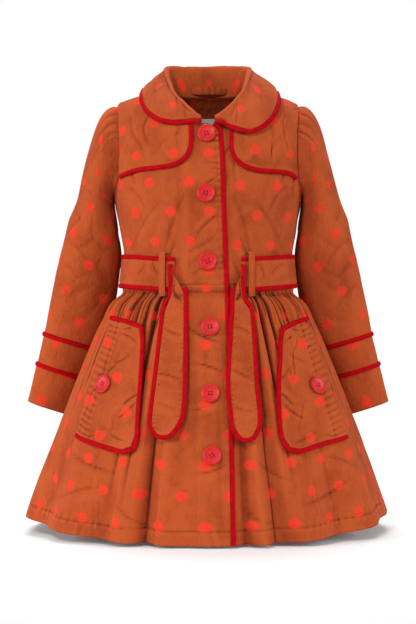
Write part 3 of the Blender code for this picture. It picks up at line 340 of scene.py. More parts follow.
class Thread:
    """One value inside a material; sums and products with it add Math or Vector Math nodes."""

    def __init__(self, tree, socket):
        self.tree, self.socket = tree, socket

    def node(self, kind, *inputs, out=0, **settings):
        made = self.tree.nodes.new(f"ShaderNode{kind}")
        for key, value in settings.items():
            setattr(made, key, value)
        for slot, value in inputs[0].items() if isinstance(inputs[0], dict) else enumerate(inputs):
            if isinstance(value, Thread):
                self.tree.links.new(value.socket, made.inputs[slot])
            elif value is not None:
                made.inputs[slot].default_value = value
        return Thread(self.tree, made.outputs[out])

    def math(self, operation, *inputs):
        return self.node("Math", *inputs, operation=operation)

    def __add__(self, other):
        return self.math("ADD", self, other)

    def __sub__(self, other):
        return self.math("SUBTRACT", self, other)

    def __rsub__(self, other):
        return self.math("SUBTRACT", other, self)

    def __mul__(self, other):
        return self.math("MULTIPLY", self, other)

    def __truediv__(self, other):
        return self.math("DIVIDE", self, other)

    __radd__, __rmul__ = __add__, __mul__

    def smooth(self, low, high, start=0.0, end=1.0):
        return self.node("MapRange", self, low, high, start, end, interpolation_type="SMOOTHSTEP")

    def noise(self, scale, detail=2.0, rough=0.5, out=0):
        return self.node("TexNoise", self, None, scale, detail, rough, out=out, noise_dimensions="3D")

    def stretched(self, x, y, z=1.0):
        return self.node("VectorMath", self, (x, y, z), operation="MULTIPLY")

    def mixed(self, first, second):
        """A colour between two others; self is the share of the second."""
        made = self.tree.nodes.new("ShaderNodeMix")
        made.data_type = "RGBA"
        for name, value in (("Factor_Float", self), ("A_Color", first), ("B_Color", second)):
            socket = next(s for s in made.inputs if s.identifier == name)
            if isinstance(value, Thread):
                self.tree.links.new(value.socket, socket)
            else:
                socket.default_value = (*value, 1)
        return Thread(self.tree, next(s for s in made.outputs if s.identifier == "Result_Color"))


def new_finish(name, roughness, sheen=0.0, specular=0.5):
    """A material, its UV coordinates in metres of cloth, and its shader."""
    material = bpy.data.materials.new(name)
    material.use_nodes = True
    tree = material.node_tree
    shader = tree.nodes["Principled BSDF"]
    shader.inputs["Roughness"].default_value = roughness
    shader.inputs["Specular IOR Level"].default_value = specular
    shader.inputs["Sheen Weight"].default_value = sheen
    shader.inputs["Sheen Roughness"].default_value = 0.5
    where = tree.nodes.new("ShaderNodeUVMap")
    where.uv_map = "cut"
    return material, Thread(tree, where.outputs[0]), shader


def weave_bump(cut, shader, pitch, height, crumple):
    """Crossing threads over soft crumpling, both as heights in metres, on the shader's normal."""
    x, y = (cut.node("SeparateXYZ", cut, out=k) * (2 * math.pi / pitch) for k in range(2))
    threads = cut.math("SINE", x) * cut.math("SINE", y)
    raised = cut.node("Bump", {"Strength": 1.0, "Distance": 1.0, "Height": crumple + threads * height})
    cut.tree.links.new(raised.socket, shader.inputs["Normal"])


DOT_ACROSS, DOT_ROWS, DOT_RADIUS, DOT_HAZE = 51.5 * MM, 39.5 * MM, 6.9 * MM, 1.3 * MM
# Rust tones: light, deep, and a near-black painted shade for the deepest creases.
RUST_LIGHT, RUST_DEEP, RUST_PAINTED_SHADE = (0.440, 0.078, 0.020), (0.270, 0.040, 0.010), (0.100, 0.013, 0.005)
DOT_COLOUR = (0.68, 0.046, 0.018)


def dots_on(cut, ragged):
    """How much dot colour lies at each place: soft-edged dots in staggered rows."""
    x, y = (cut.node("SeparateXYZ", cut, out=k) for k in range(2))
    rows = []
    for shift_x, shift_y in ((0.0, 0.0), (DOT_ACROSS / 2, DOT_ROWS)):
        across = cut.math("WRAP", x + (shift_x - DOT_ACROSS / 2), DOT_ACROSS / 2, -DOT_ACROSS / 2)
        along = cut.math("WRAP", y + (shift_y - DOT_ROWS), DOT_ROWS, -DOT_ROWS)
        away = cut.math("SQRT", across * across + along * along) + ragged
        rows.append(away.smooth(DOT_RADIUS - DOT_HAZE, DOT_RADIUS + DOT_HAZE, 1.0, 0.0))
    return cut.math("MAXIMUM", *rows)


def rust_cotton(name, dotted):
    """Rust cotton, washed and creased: uneven threads both ways, slow clouds, thin slightly darker lines
    along small grooves, painted shade in creases and painted light on ridges.
    """
    material, cut, shader = new_finish(name, 0.9, sheen=0.03, specular=0.06)
    slub_across, slub_along = [cut.stretched(*way).noise(1.0, 2.0, 0.6) for way in ((90, 1500), (1300, 60))]
    slub = slub_across * 0.4 + slub_along * 0.6
    cloud = cut.stretched(22, 14).noise(1.0, 3.0, 0.55)
    crumple = cut.stretched(75, 55).noise(1.0, 4.0, 0.6)
    # Thin lines where the crumpling crosses its middle: small grooves in the bump, a little darker in colour.
    line = cut.math("ABSOLUTE", crumple - 0.5).smooth(0.0, 0.05, 1.0, 0.0)
    painted_crease_shade = cut.node("Attribute", {}, out=2, attribute_type="GEOMETRY", attribute_name="painted_crease_shade")
    # Colour depth mixes real slubs and dye clouds with painted shade: the crease measure from the mesh
    # darkens creases and lightens ridges, and the dots fade with it.
    depth = (slub * 0.5 + cloud * 0.72 + line * 0.03 + painted_crease_shade * 0.4).smooth(0.42, 0.92)
    # Painted shade: the deepest creases are mixed further towards near-black rust.
    colour = (painted_crease_shade.smooth(0.3, 1.0) * 0.78).mixed(depth.mixed(RUST_LIGHT, RUST_DEEP), RUST_PAINTED_SHADE)
    if dotted:
        dot = dots_on(cut, (slub - 0.5) * (5 * MM))
        colour = (dot * (1.08 - 0.35 * depth)).mixed(colour, DOT_COLOUR)
    cut.tree.links.new(colour.socket, shader.inputs["Base Color"])
    weave_bump(cut, shader, 0.9 * MM, 0.03 * MM, crumple * (2.6 * MM) - line * (0.2 * MM))
    return material


COTTON = rust_cotton("dotted_rust_cotton", dotted=True)


def armhole(count, side, back=False, start=0.0):
    shares = (1 - start) * np.linspace(1, 0, count) ** 1.7
    return places(course(np.array(ARMHOLE_POINTS) * MM)(shares), back=back) * (side, 1)


def side_seam(count):
    return np.stack([np.full(count, 90.0), np.linspace(WAIST, UNDERARM, count)], 1)


ROUND_ANGLES = np.linspace(0, 180, 181)
round_points = np.stack(ring_point(ROUND_ANGLES, 124 * MM, 88 * MM, 82 * MM, TORSO_ROUNDNESS), -1)
ROUND_RUN = run_along(round_points)


def bodice_cut(grid, dot=(0, 0)):
    """Cloth coordinates of places on the bodice, round it and up it, with a dot at one place."""
    turned = (grid[..., 0] + 180) % 360 - 180
    around = np.sign(turned) * np.interp(np.abs(turned), ROUND_ANGLES, ROUND_RUN)
    around = around + (grid[..., 0] - turned) / 180 * ROUND_RUN[-1]
    above = np.maximum(grid[..., 1] - CURL_LEVEL, 0)
    cut = np.stack([around, grid[..., 1] + 0.25 * above], -1)
    return cut if dot == (0, 0) else cut - bodice_cut(places(np.array([dot]) * MM))[0]


BACK_FOLDS = (  # x, z, to x, z, half_width, depth, bow
    (-96, -262, -60, -190, 9, -1.6, 6),
    (92, -266, 52, -200, 8, -1.5, -6),
    (-30, -268, -22, -215, 7, -1.2, 3),
    (26, -268, 34, -210, 7, -1.1, -3),
    (-112, -120, -70, -150, 9, -1.3, 5),
    (110, -116, 72, -148, 9, -1.2, -5),
    (-10, -60, 60, -90, 14, -0.8, 6),
    (6, -150, -66, -170, 12, 0.8, 5),
)
HALF_GAP_ANGLE = math.degrees(SEAM / 2 / (120 * MM))
left_edge = np.vstack([side_seam(5)[:-1], armhole(12, 1, back=True)])
left_edge[:, 0] += HALF_GAP_ANGLE
right_edge = left_edge * (-1, 1) + (360, 0)
shoulder_x = np.linspace(SHOULDER_TIP_X, SIDE_NECK_X, 6)
shoulder = places(np.stack([shoulder_x, shoulder_height(shoulder_x)], 1), back=True)
back_neck = course(np.array(BACK_NECK_POINTS) * MM)
half_top = np.vstack([shoulder[:-1], places(back_neck(np.linspace(0, 1, 6)), back=True)])
top_edge = np.vstack([half_top, (half_top * (-1, 1) + (360, 0))[-2::-1]])
grid = coons(np.linspace(left_edge[0], right_edge[0], 21), top_edge, left_edge, right_edge)
grid[..., 1] -= SEAM / 2 * (grid[..., 1] > -1e-4)
at = rows_of(16, 6), rows_of(21, 6)
grid = finer_grid(grid, at)
grid[..., 1] = np.minimum(grid[..., 1], -SEAM / 2)
under, normals = lay(torso, grid[..., 0], grid[..., 1])
swell = folds(under, BACK_FOLDS, back=True) + 0.6 * MM * drift(under, 0.07, 3)
swell = swell + rumple(under, 0.06, 2.0 * MM, 30)
under = under + normals * swell[..., None]
back_piece = cloth_piece("back", under, grid_normals(under) * -1, bodice_cut(grid), COTTON, at=at)

# ---- Fronts --------------------------------------------------------------------------------------
# Two fronts of dotted cotton from the waist seam to the shoulders. The wearer's right front laps over
# the left one, and buttons to it; both are faced, so the lap is a little stiffer than the rest.

NECK_POINTS = ((8, -58), (18, -55), (27, -50), (38, -42), (49, -28), (56, -13), (60, 0))  # x, z
FRONT_EDGE = (  # height, x: the middle of the front edge's binding
    (-610, 32),
    (-450, 29.5),
    (-274, 25),
    (-180, 21.5),
    (-100, 19),
    (-70, 17),
    (-62, 14.5),
    (-58, 8),
)
EDGE_HEIGHTS, EDGE_XS = np.array(FRONT_EDGE, float).T * MM
EDGE_ROWS = (-274, -240, -205, -170, -142, -120, -102, -88, -78, -68)  # rows up the front edge
BINDING_WIDTH, BINDING_HEIGHT = 6.5 * MM, 2.6 * MM
EDGE_INSET = BINDING_WIDTH / 2
OVERLAP_LIFT, OVERLAP_RISE, OVERLAP_TOP = 2 * MM, (-42 * MM, -27 * MM), (-20 * MM, -60 * MM)
UNDERLAP_X, TOPSTITCH_INSET = -14 * MM, 5 * MM
PUCKER_PITCH, PUCKER_REACH, PUCKER_DEPTH = 9 * MM, 9 * MM, 0.28 * MM  # beside the topstitching
FRONT_DOT = {-1: (-25.7, -136.8), 1: (42.8, -141.9)}  # x, z of one dot
FRONT_FOLDS = (  # x, z, to x, z, half_width, depth, bow
    (16, -178, -16, -208, 3.5, -1.3, 2),
    (14, -205, -30, -232, 4, -0.9, -2),
    (15, -128, -10, -146, 3, -0.8, 1),
    (14, -240, -20, -262, 4, -0.9, 2),
    (-30, -150, -62, -262, 7, -1.4, 6),
    (-44, -215, -74, -262, 5, -1.2, -4),
    (-62, -160, -104, -228, 9, -1.5, 5),
    (-86, -232, -112, -256, 5, -1.3, 3),
    (-70, -232, -52, -262, 5, -1.2, -3),
    (-108, -140, -84, -176, 7, -1.3, -4),
    (-116, -108, -98, -140, 5, -1.1, -3),
    (-36, -188, -58, -176, 8, 0.9, 2),
    (32, -150, 58, -262, 7, -1.3, -6),
    (42, -210, 76, -262, 5, -1.3, 4),
    (60, -158, 102, -230, 9, -1.5, -5),
    (84, -228, 112, -256, 5, -1.3, -3),
    (66, -234, 48, -262, 5, -1.2, 3),
    (108, -138, 82, -178, 7, -1.3, 4),
    (116, -104, 98, -140, 5, -1.1, 3),
    (34, -186, 60, -172, 8, 0.9, -2),
    (30, -240, 44, -262, 4, -0.9, -1),
)


def front_edge_x(z):
    return np.interp(z, EDGE_HEIGHTS, EDGE_XS)


def topstitching_x(z):
    """Where the topstitching beside the front edge's binding runs."""
    return front_edge_x(z) - EDGE_INSET - TOPSTITCH_INSET


def neckline(count, side):
    return places(course(np.array(NECK_POINTS) * MM)(np.linspace(0, 1, count)) * (side, 1))


def overlap_lift(angle, level):
    """The right front rises as it nears the centre, to lie over the left front."""
    return OVERLAP_LIFT * ramp(torso(angle, level)[..., 0], *OVERLAP_RISE) * ramp(level, *OVERLAP_TOP)


def front_piece(side, name, inner_edge, lift):
    outer_edge = np.vstack([(side_seam(6) * (side, 1))[:-1], armhole(13, side)])
    outer_edge[:, 0] -= side * HALF_GAP_ANGLE
    top_x = np.linspace(SIDE_NECK_X, SHOULDER_TIP_X, 12) * side
    top_edge = places(np.stack([top_x, shoulder_height(top_x)], 1))
    grid = coons(np.linspace(inner_edge[0], outer_edge[0], 12), top_edge, inner_edge, outer_edge)
    at = rows_of(18, 8), rows_of(12, 8)
    grid = finer_grid(grid, at)
    grid[..., 1] = np.minimum(grid[..., 1], -SEAM / 2)
    angle, level = grid[..., 0], grid[..., 1]
    under, _ = lay(torso, angle, level, lift(angle, level))
    near_seam = bump(under[..., 0], topstitching_x(under[..., 2]), PUCKER_REACH) * (side < 0)
    waves = np.sin(under[..., 2] * 2 * math.pi / PUCKER_PITCH + 3 * drift(under, 0.04, 9))
    swell = folds(under, FRONT_FOLDS) + 0.5 * MM * drift(under, 0.06, 5 + side)
    swell = swell + near_seam * waves * PUCKER_DEPTH
    swell = swell + rumple(under, 0.055, 1.8 * MM, 33 + side)
    _, normals = lay(torso, angle, level)
    under = under + normals * swell[..., None]
    cut = bodice_cut(grid, FRONT_DOT[side])
    return cloth_piece(name, under, grid_normals(under) * side, cut, COTTON, at=at)


rows = np.array(EDGE_ROWS) * MM
edge = places(np.stack([front_edge_x(rows) - EDGE_INSET, rows], 1))
crossing = places(np.array([(1 * MM, -58.5 * MM)]))
front_right = front_piece(-1, "front_right", np.vstack([edge, crossing, neckline(7, -1)]), overlap_lift)
under_edge = places(np.stack([np.full(len(rows), UNDERLAP_X), rows], 1))
front_left = front_piece(1, "front_left", np.vstack([under_edge, neckline(8, 1)]), lambda angle, _: 0 * angle)

# ---- Skirt ---------------------------------------------------------------------------------------
# Two fronts and a back of dotted cotton, wider than the waist and drawn up into its seam in small
# uneven gathers; below them the cloth falls in long folds to a turned and topstitched hem.

SIDE_HEM, FRONT_HEM, BACK_HEM = -588 * MM, -610 * MM, -600 * MM
SKIRT_RINGS = (  # drop, half_width, front_depth, back_depth
    (0.00, 118.5, 87.5, 81.5),
    (0.035, 119, 88, 82),
    (0.07, 132, 97, 91),
    (0.16, 149, 108, 102),
    (0.285, 167, 121, 115),
    (0.40, 182, 132, 125),
    (0.56, 201, 146, 139),
    (0.78, 226, 163, 155),
    (1.00, 250, 180, 171),
)
SKIRT_ROUNDNESS = 2.1
LONG_FOLDS = (  # angle, half_width, depth_at_hem, start: the folds that the frame has too
    (-74, 7, 5, 0.30),
    (-61, 6, -6, 0.30),
    (-48, 8, 8, 0.25),
    (-34, 5, -5, 0.35),
    (-26, 5, 7, 0.15),
    (-18, 4, -12, 0.10),
    (-11, 4, 6, 0.15),
    (-5, 3, -4, 0.35),
    (10.5, 2.8, -9, 0.10),
    (16, 3, 6, 0.20),
    (21.5, 4, -9, 0.15),
    (30, 7, 8, 0.20),
    (44, 5, -6, 0.30),
    (58, 8, 7, 0.25),
    (72, 6, -5, 0.35),
    (124, 8, 7, 0.20),
    (139, 6, -8, 0.20),
    (152, 7, 8, 0.15),
    (166, 5, -7, 0.25),
    (179, 7, 8, 0.15),
    (193, 6, -8, 0.20),
    (207, 7, 7, 0.20),
    (221, 6, -7, 0.25),
    (235, 8, 7, 0.20),
)
SOFT_FOLDS = (  # angle, half_width, depth, start, end: lighter ones between them
    (-84, 3, -2.4, 0.05, 1.3),
    (-67, 2.5, -2.2, 0.10, 0.7),
    (-54, 2.5, -2.2, 0.08, 0.6),
    (-41, 2.0, -2.6, 0.50, 1.4),
    (-33, 1.7, -3.8, 0.03, 0.9),
    (-27, 1.6, -4.6, 0.03, 0.9),
    (-22.5, 1.6, 3.0, 0.03, 1.3),
    (-19.5, 1.5, -7.0, 0.03, 1.5),
    (-14, 1.5, 2.6, 0.10, 1.4),
    (-10, 1.4, -5.0, 0.12, 1.5),
    (-5.5, 1.4, -2.0, 0.30, 1.4),
    (-1, 1.8, -1.6, 0.05, 0.5),
    (3.5, 2.0, -1.8, 0.40, 1.3),
    (11.5, 1.3, -5.0, 0.15, 1.5),
    (15.5, 1.6, 2.6, 0.10, 1.4),
    (20, 1.5, -6.5, 0.03, 1.5),
    (24.5, 1.5, 2.6, 0.03, 1.0),
    (28, 1.6, -4.4, 0.03, 0.9),
    (34.5, 1.8, -3.2, 0.03, 0.8),
    (44, 2.2, -2.8, 0.50, 1.4),
    (51, 2.5, -2.2, 0.08, 0.7),
    (66, 2.6, -2.2, 0.08, 1.3),
    (83, 3, -2.4, 0.05, 1.3),
    (98, 3, -2.6, 0.06, 0.7),
    (114, 3, 2.0, 0.10, 0.9),
    (131, 2.0, -4.4, 0.05, 1.4),
    (146, 2.0, -4.0, 0.05, 0.7),
    (159, 2.0, -4.8, 0.05, 1.4),
    (172, 2.2, -3.4, 0.08, 0.6),
    (186, 2.0, -4.4, 0.05, 0.8),
    (200, 2.0, -4.6, 0.05, 1.4),
    (214, 2.2, -3.4, 0.08, 0.9),
    (228, 2.0, -4.4, 0.05, 1.4),
    (246, 3, 2.0, 0.10, 0.9),
    (262, 3, -2.6, 0.05, 0.8),
)
FRONT_GATHERS, BACK_GATHERS, GATHERS_FROM, GATHERS_TO = 13, 19, 14, 89.93
PLEAT_DEPTH, SMALL_PLEAT, SIDE_SEAM_ANGLE = 6.0 * MM, 4.4 * MM, 89.985
GATHER_DEPTH = (  # drop, depth
    (0.00, 0.8),
    (0.03, 1.3),
    (0.07, 2.9),
    (0.15, 2.6),
    (0.25, 1.3),
    (0.38, 0.5),
    (0.50, 0.0),
    (1.00, 0.0),
)
SKIRT_FALL, HEM_TURN, HEM_SEAM_WIDTH = 330, 18, 1.6  # in mm, as in the tables
HEM_RIPPLE, HEM_RIPPLE_PITCH, HEM_SEAM_DIP = 0.22 * MM, 11 * MM, 0.5 * MM
SLEEVE_DENT, DENT_ANGLE, DENT_WIDTH, DENT_DROP, DENT_LENGTH = 13 * MM, 112, 20, 0.4, 0.3
POCKET_CALM, POCKET_REACH, POCKET_FADE = 0.35, (38, 80), 6
SKIRT_DOT = np.array((-3, -437)) * MM  # around from the centre, and height
SKIRT_CREASES = (  # x, z, to x, z, half_width, depth, bow
    (-30, -330, 18, -352, 4, -1.1, 3),
    (-22, -378, 22, -392, 4, -1.0, -2),
    (-24, -440, 14, -426, 4, -0.9, 2),
    (-18, -520, 24, -508, 5, -1.0, 3),
    (-180, -500, -120, -520, 6, -1.2, 4),
    (-200, -560, -140, -540, 7, -1.3, -5),
    (-120, -560, -70, -590, 6, -1.2, 4),
    (-60, -520, -20, -560, 6, -1.1, -4),
    (60, -500, 110, -530, 6, -1.2, 5),
    (120, -560, 190, -530, 7, -1.3, 6),
    (150, -500, 200, -520, 6, -1.1, -3),
    (40, -560, 90, -585, 6, -1.1, 4),
)
SKIRT = np.array(SKIRT_RINGS, float).T
GATHER = np.array(GATHER_DEPTH, float).T


def gather_stations(start, end, count):
    """The angles of the crests and valleys between start and end, unevenly spaced."""
    k = np.arange(2 * count)
    run = np.concatenate([[0], np.cumsum(1 + 0.28 * np.sin(2.4 * k) + 0.12 * np.sin(5.1 * k))])
    return start + (end - start) * run / run[-1]


RIGHT_STATIONS = gather_stations(-GATHERS_TO, -GATHERS_FROM, FRONT_GATHERS)
LEFT_STATIONS = gather_stations(GATHERS_FROM, GATHERS_TO, FRONT_GATHERS)
BACK_STATIONS = gather_stations(180 - GATHERS_TO, 180 + GATHERS_TO, BACK_GATHERS)


def gathered_stretches(angle):
    """For each gathered stretch: what lies in it, its place from crest to valley, and its fading ends."""
    for stations in (RIGHT_STATIONS, LEFT_STATIONS, BACK_STATIONS, BACK_STATIONS - 360):
        within = (angle > stations[0] - 1e-4) & (angle < stations[-1] + 1e-4)
        step = np.interp(angle, stations, np.arange(len(stations)))
        yield within, step, np.clip(np.minimum(step, len(stations) - 1 - step), 0, 1)


def gather_wave(angle, drop):
    """Broad crests and narrow valleys, each fading at its own height."""
    wave, fade = np.zeros(np.shape(angle)), np.ones(np.shape(angle))
    for within, step, from_ends in gathered_stretches(angle):
        crest = 2 * ((1 + np.cos(np.pi * step)) / 2) ** 0.62 - 1
        strength = 0.85 + 0.35 * np.sin(1.9 * step) + 0.2 * np.sin(4.3 * step + 1)
        wave = np.where(within, strength * from_ends * crest, wave)
        fade = np.where(within, 1 + 0.42 * np.sin(2.7 * step + 0.6), fade)
    return wave * eased(drop / fade, GATHER[0], GATHER[1] * MM)


def tight_gathers(angle, drop):
    """Close to the seam the valleys pinch to narrow pleats, with small ones on the crests."""
    pleat = np.zeros(np.shape(angle))
    for within, step, from_ends in gathered_stretches(angle):
        valley = crease(step % 2 - 1, 0.62)
        small = crease((step + 1) % 2 - 1, 0.42) * (0.65 + 0.35 * np.sin(2.1 * step))
        length = 0.34 + 0.16 * np.sin(2.7 * step + 0.6)
        near = ramp(drop, 0.012, 0.05) * (1 - ramp(drop, 0.25 * length, 1.3 * length))
        depth = PLEAT_DEPTH * (0.8 + 0.5 * np.sin(1.3 * step)) * valley
        depth = depth + SMALL_PLEAT * small * (1 - ramp(drop, 0.10, 0.10 + 0.5 * length))
        pleat = np.where(within, -depth * from_ends * near, pleat)
    return pleat


def hem_height(angle):
    c = np.cos(np.radians(angle))
    return SIDE_HEM + np.where(c > 0, FRONT_HEM - SIDE_HEM, BACK_HEM - SIDE_HEM) * np.abs(c) ** 1.5


def turn_from(angle, centre):
    return (angle - centre + 180) % 360 - 180


def skirt(angle, drop, gathered=1.0, folded=1.0, soft=0.0):
    """The skirt's inner face, from the waist seam (0) to the hem (1)."""
    sizes = [eased(drop, SKIRT[0], column * MM) for column in SKIRT[1:]]
    x, y = ring_point(angle, *sizes, SKIRT_ROUNDNESS)
    z = WAIST + (hem_height(angle) - WAIST) * drop
    turned = (np.asarray(angle) + 120) % 360 - 120
    outward = 0
    for centre, width, depth, start in LONG_FOLDS:
        across = bump(turn_from(turned, centre), 0, width)
        outward = outward + folded * depth * MM * across * ramp(drop, start, 1.1)
    for centre in (DENT_ANGLE, 360 - DENT_ANGLE):
        across = bump(turn_from(turned, centre), 0, DENT_WIDTH)
        outward = outward - SLEEVE_DENT * across * bump(drop, DENT_DROP, DENT_LENGTH)
    side = np.abs(turned)
    under_pocket = ramp(side, POCKET_REACH[0] - POCKET_FADE, POCKET_REACH[0])
    under_pocket = under_pocket * (1 - ramp(side, POCKET_REACH[1], POCKET_REACH[1] + POCKET_FADE))
    calm = 1 - (1 - POCKET_CALM) * under_pocket * ramp(drop, 0.08, 0.16)
    outward = outward + gathered * calm * gather_wave(turned, drop)
    if soft:
        outward = outward + soft * tight_gathers(turned, drop)
        for centre, width, depth, start, end in SOFT_FOLDS:
            across = crease(turn_from(turned, centre), 1.5 * width)
            length = ramp(drop, start, start + 0.2) * (1 - ramp(drop, end - 0.3, end))
            outward = outward + soft * calm * depth * MM * across * length
    s, c = np.sin(np.radians(angle)), -np.cos(np.radians(angle))
    return np.stack([x + outward * s, y + outward * c, z], axis=-1)


def skirt_place(x, z):
    """The angle and drop where the skirt's front passes through x and z."""
    x, z = np.asarray(x, float), np.asarray(z, float)
    angle = np.zeros(np.shape(z))
    for _ in range(6):
        drop = (z - WAIST) / (hem_height(angle) - WAIST)
        half_width = eased(drop, SKIRT[0], SKIRT[1] * MM)
        share = np.clip(np.abs(x) / half_width, 0, 1) ** (SKIRT_ROUNDNESS / 2)
        angle = np.sign(x) * np.degrees(np.arcsin(share))
    return angle, drop


def front_edge_angle(drop, x_of_height):
    z = WAIST + (FRONT_HEM - WAIST) * np.asarray(drop)
    return skirt_place(x_of_height(z), z)[0]


def full_skirt(angle, drop):
    return skirt(angle, drop, soft=1.0)


def skirt_piece(name, angles, drops, at, lift):
    drops = np.broadcast_to(np.maximum(drops, 0.0005)[:, None], angles.shape)
    _, normals = lay(skirt, angles, drops, outward=-1)
    under = skirt(angles, drops, soft=1.0)
    swell = folds(under, SKIRT_CREASES) + 0.8 * MM * drift(under, 0.09, 11) * ramp(drops, 0.1, 0.3)
    swell = swell + rumple(under, 0.075, 1.6 * MM, 37) * ramp(drops, 0.08, 0.25)
    above_hem = (1 - drops) * SKIRT_FALL
    run = np.radians(angles) * 220 * MM
    ripple = np.sin(run * 2 * math.pi / HEM_RIPPLE_PITCH + 2 * drift(under, 0.05, 4))
    swell = swell + HEM_RIPPLE * ripple * bump(above_hem, HEM_TURN, 7)
    seam_dip = -HEM_SEAM_DIP * bump(above_hem, HEM_TURN, HEM_SEAM_WIDTH)
    under = under + normals * (lift + swell + seam_dip)[..., None]
    around = np.radians(angles) * (150 + 75 * drops) * MM
    cut = np.stack([around, -drops * 345 * MM + WAIST], -1) - SKIRT_DOT
    # Painted shade in the valleys of the pleats near the waist seam, added to the crease measure.
    dip = 1.3 * ramp(-tight_gathers(angles, drops), 0.5 * MM, 3.0 * MM)
    return cloth_piece(name, under, normals_like(under, normals), cut, COTTON, at=at, dip=dip)


def between(stations, times):
    """The stations, with times - 1 more between each pair."""
    return np.interp(np.arange((len(stations) - 1) * times + 1) / times, np.arange(len(stations)), stations)


drop_at = rows_of(126, 1)
drops = (drop_at / drop_at[-1]) ** 1.12  # closer rows near the waist
edge_angle = front_edge_angle(drops, lambda z: front_edge_x(z) - EDGE_INSET)
under_angle = front_edge_angle(drops, lambda z: np.full(z.shape, UNDERLAP_X))
lap = under_angle[:, None] + (edge_angle - under_angle)[:, None] * np.linspace(0, 1, 19)
right_gathers, left_gathers = between(RIGHT_STATIONS, 6), between(LEFT_STATIONS, 6)
joining = np.linspace(0, 1, 6)[None, 1:-1]
to_lap = right_gathers[-1] + (lap[:, :1] - right_gathers[-1]) * joining
from_lap = lap[:, -1:] + (left_gathers[0] - lap[:, -1:]) * joining
tall = np.ones((len(drops), 1))
back_gathers = between(BACK_STATIONS, 5)
right_gathers[0], left_gathers[-1] = -SIDE_SEAM_ANGLE, SIDE_SEAM_ANGLE
back_gathers[[0, -1]] = 180 - SIDE_SEAM_ANGLE, 180 + SIDE_SEAM_ANGLE
right_angles = np.hstack([tall * right_gathers, to_lap, lap])
left_angles = np.hstack([lap, from_lap, tall * left_gathers])
back_angles = tall * back_gathers
for name, angles in (("right", right_angles), ("left", left_angles), ("back", back_angles)):
    columns = np.arange(angles.shape[1], dtype=float)
    lift = OVERLAP_LIFT * ramp(skirt(angles, drops[:, None] + 0 * angles)[..., 0], *OVERLAP_RISE)
    lift = lift if name == "right" else 0 * lift
    node = "skirt_back" if name == "back" else f"skirt_front_{name}"
    piece = skirt_piece(node, angles, drops, (drop_at, columns), lift)

# ---- Collar --------------------------------------------------------------------------------------
# A round collar of two layers: it stands up from the neck seam, rolls over and falls to its edge,
# which a red bias strip binds all round. The strip's folded edges are stitched down through both.

DOUBLE = 1.8 * MM
COLLAR_ROWS = (  # share from the centre back to the front end, the fold, then the edge on each side
    # share, roll_x, roll_y, roll_z, right_edge_x, right_edge_z, left_edge_x, left_edge_z
    (0.00, 0, 51, 39, 0, -33, 0, -33),
    (0.15, 36, 45, 39, 48, -30, 48, -30),
    (0.30, 57, 30, 35.5, 82, -17, 84, -17),
    (0.40, 59.5, 10, 29, 89, -10.7, 95, -12.9),
    (0.50, 56, -17, 15, 89, -28, 92, -38),
    (0.60, 50, -42, -5, 80, -46, 77, -62),
    (0.70, 38.6, -59, -22, 62, -58.5, 56, -74),
    (0.80, 26, -72, -36, 43, -61.5, 38, -70),
    (0.90, 16.5, -77, -44, 26, -60, 23, -63),
    (1.00, 9.5, -79, -48, 9.5, -60, 10, -60),
)
COLLAR_FRONT_SHARE, COLLAR_HALF = 0.4, 14
ROLL_ROW, FALL_ROW, BACK_COLUMN = 18, 24, 40  # of the finished grid
COLLAR_LIFT, COLLAR_SEAM, SHOULDER_RISE, SHOULDER_BEND = 8.1 * MM, 1.0 * MM, 2.6 * MM, (0.45, 0.12)
ROLL_RADIUS, FALL_BULGE, FULL_FALL = 3.2 * MM, (2 * MM, 2.5 * MM), 60 * MM
NECK_MIDDLE = np.array((0, -8 * MM))
COLLAR_FOLDS = (  # x, z, to x, z, half_width, depth, bow
    (-50, 12, -36, -30, 5, -1.3, 4),
    (-44, -8, -30, -38, 3.5, -1.1, -2),
    (-62, 6, -58, -30, 6, 0.9, 3),
    (-34, -22, -24, -44, 3, -0.9, 1),
    (-74, 12, -76, -20, 5, -0.8, -3),
    (56, 10, 44, -36, 6, -0.9, -4),
    (74, 14, 74, -30, 6, -0.9, 3),
    (40, -20, 28, -50, 4, -0.8, -2),
)
neck_line = course(np.array(NECK_POINTS) * MM)


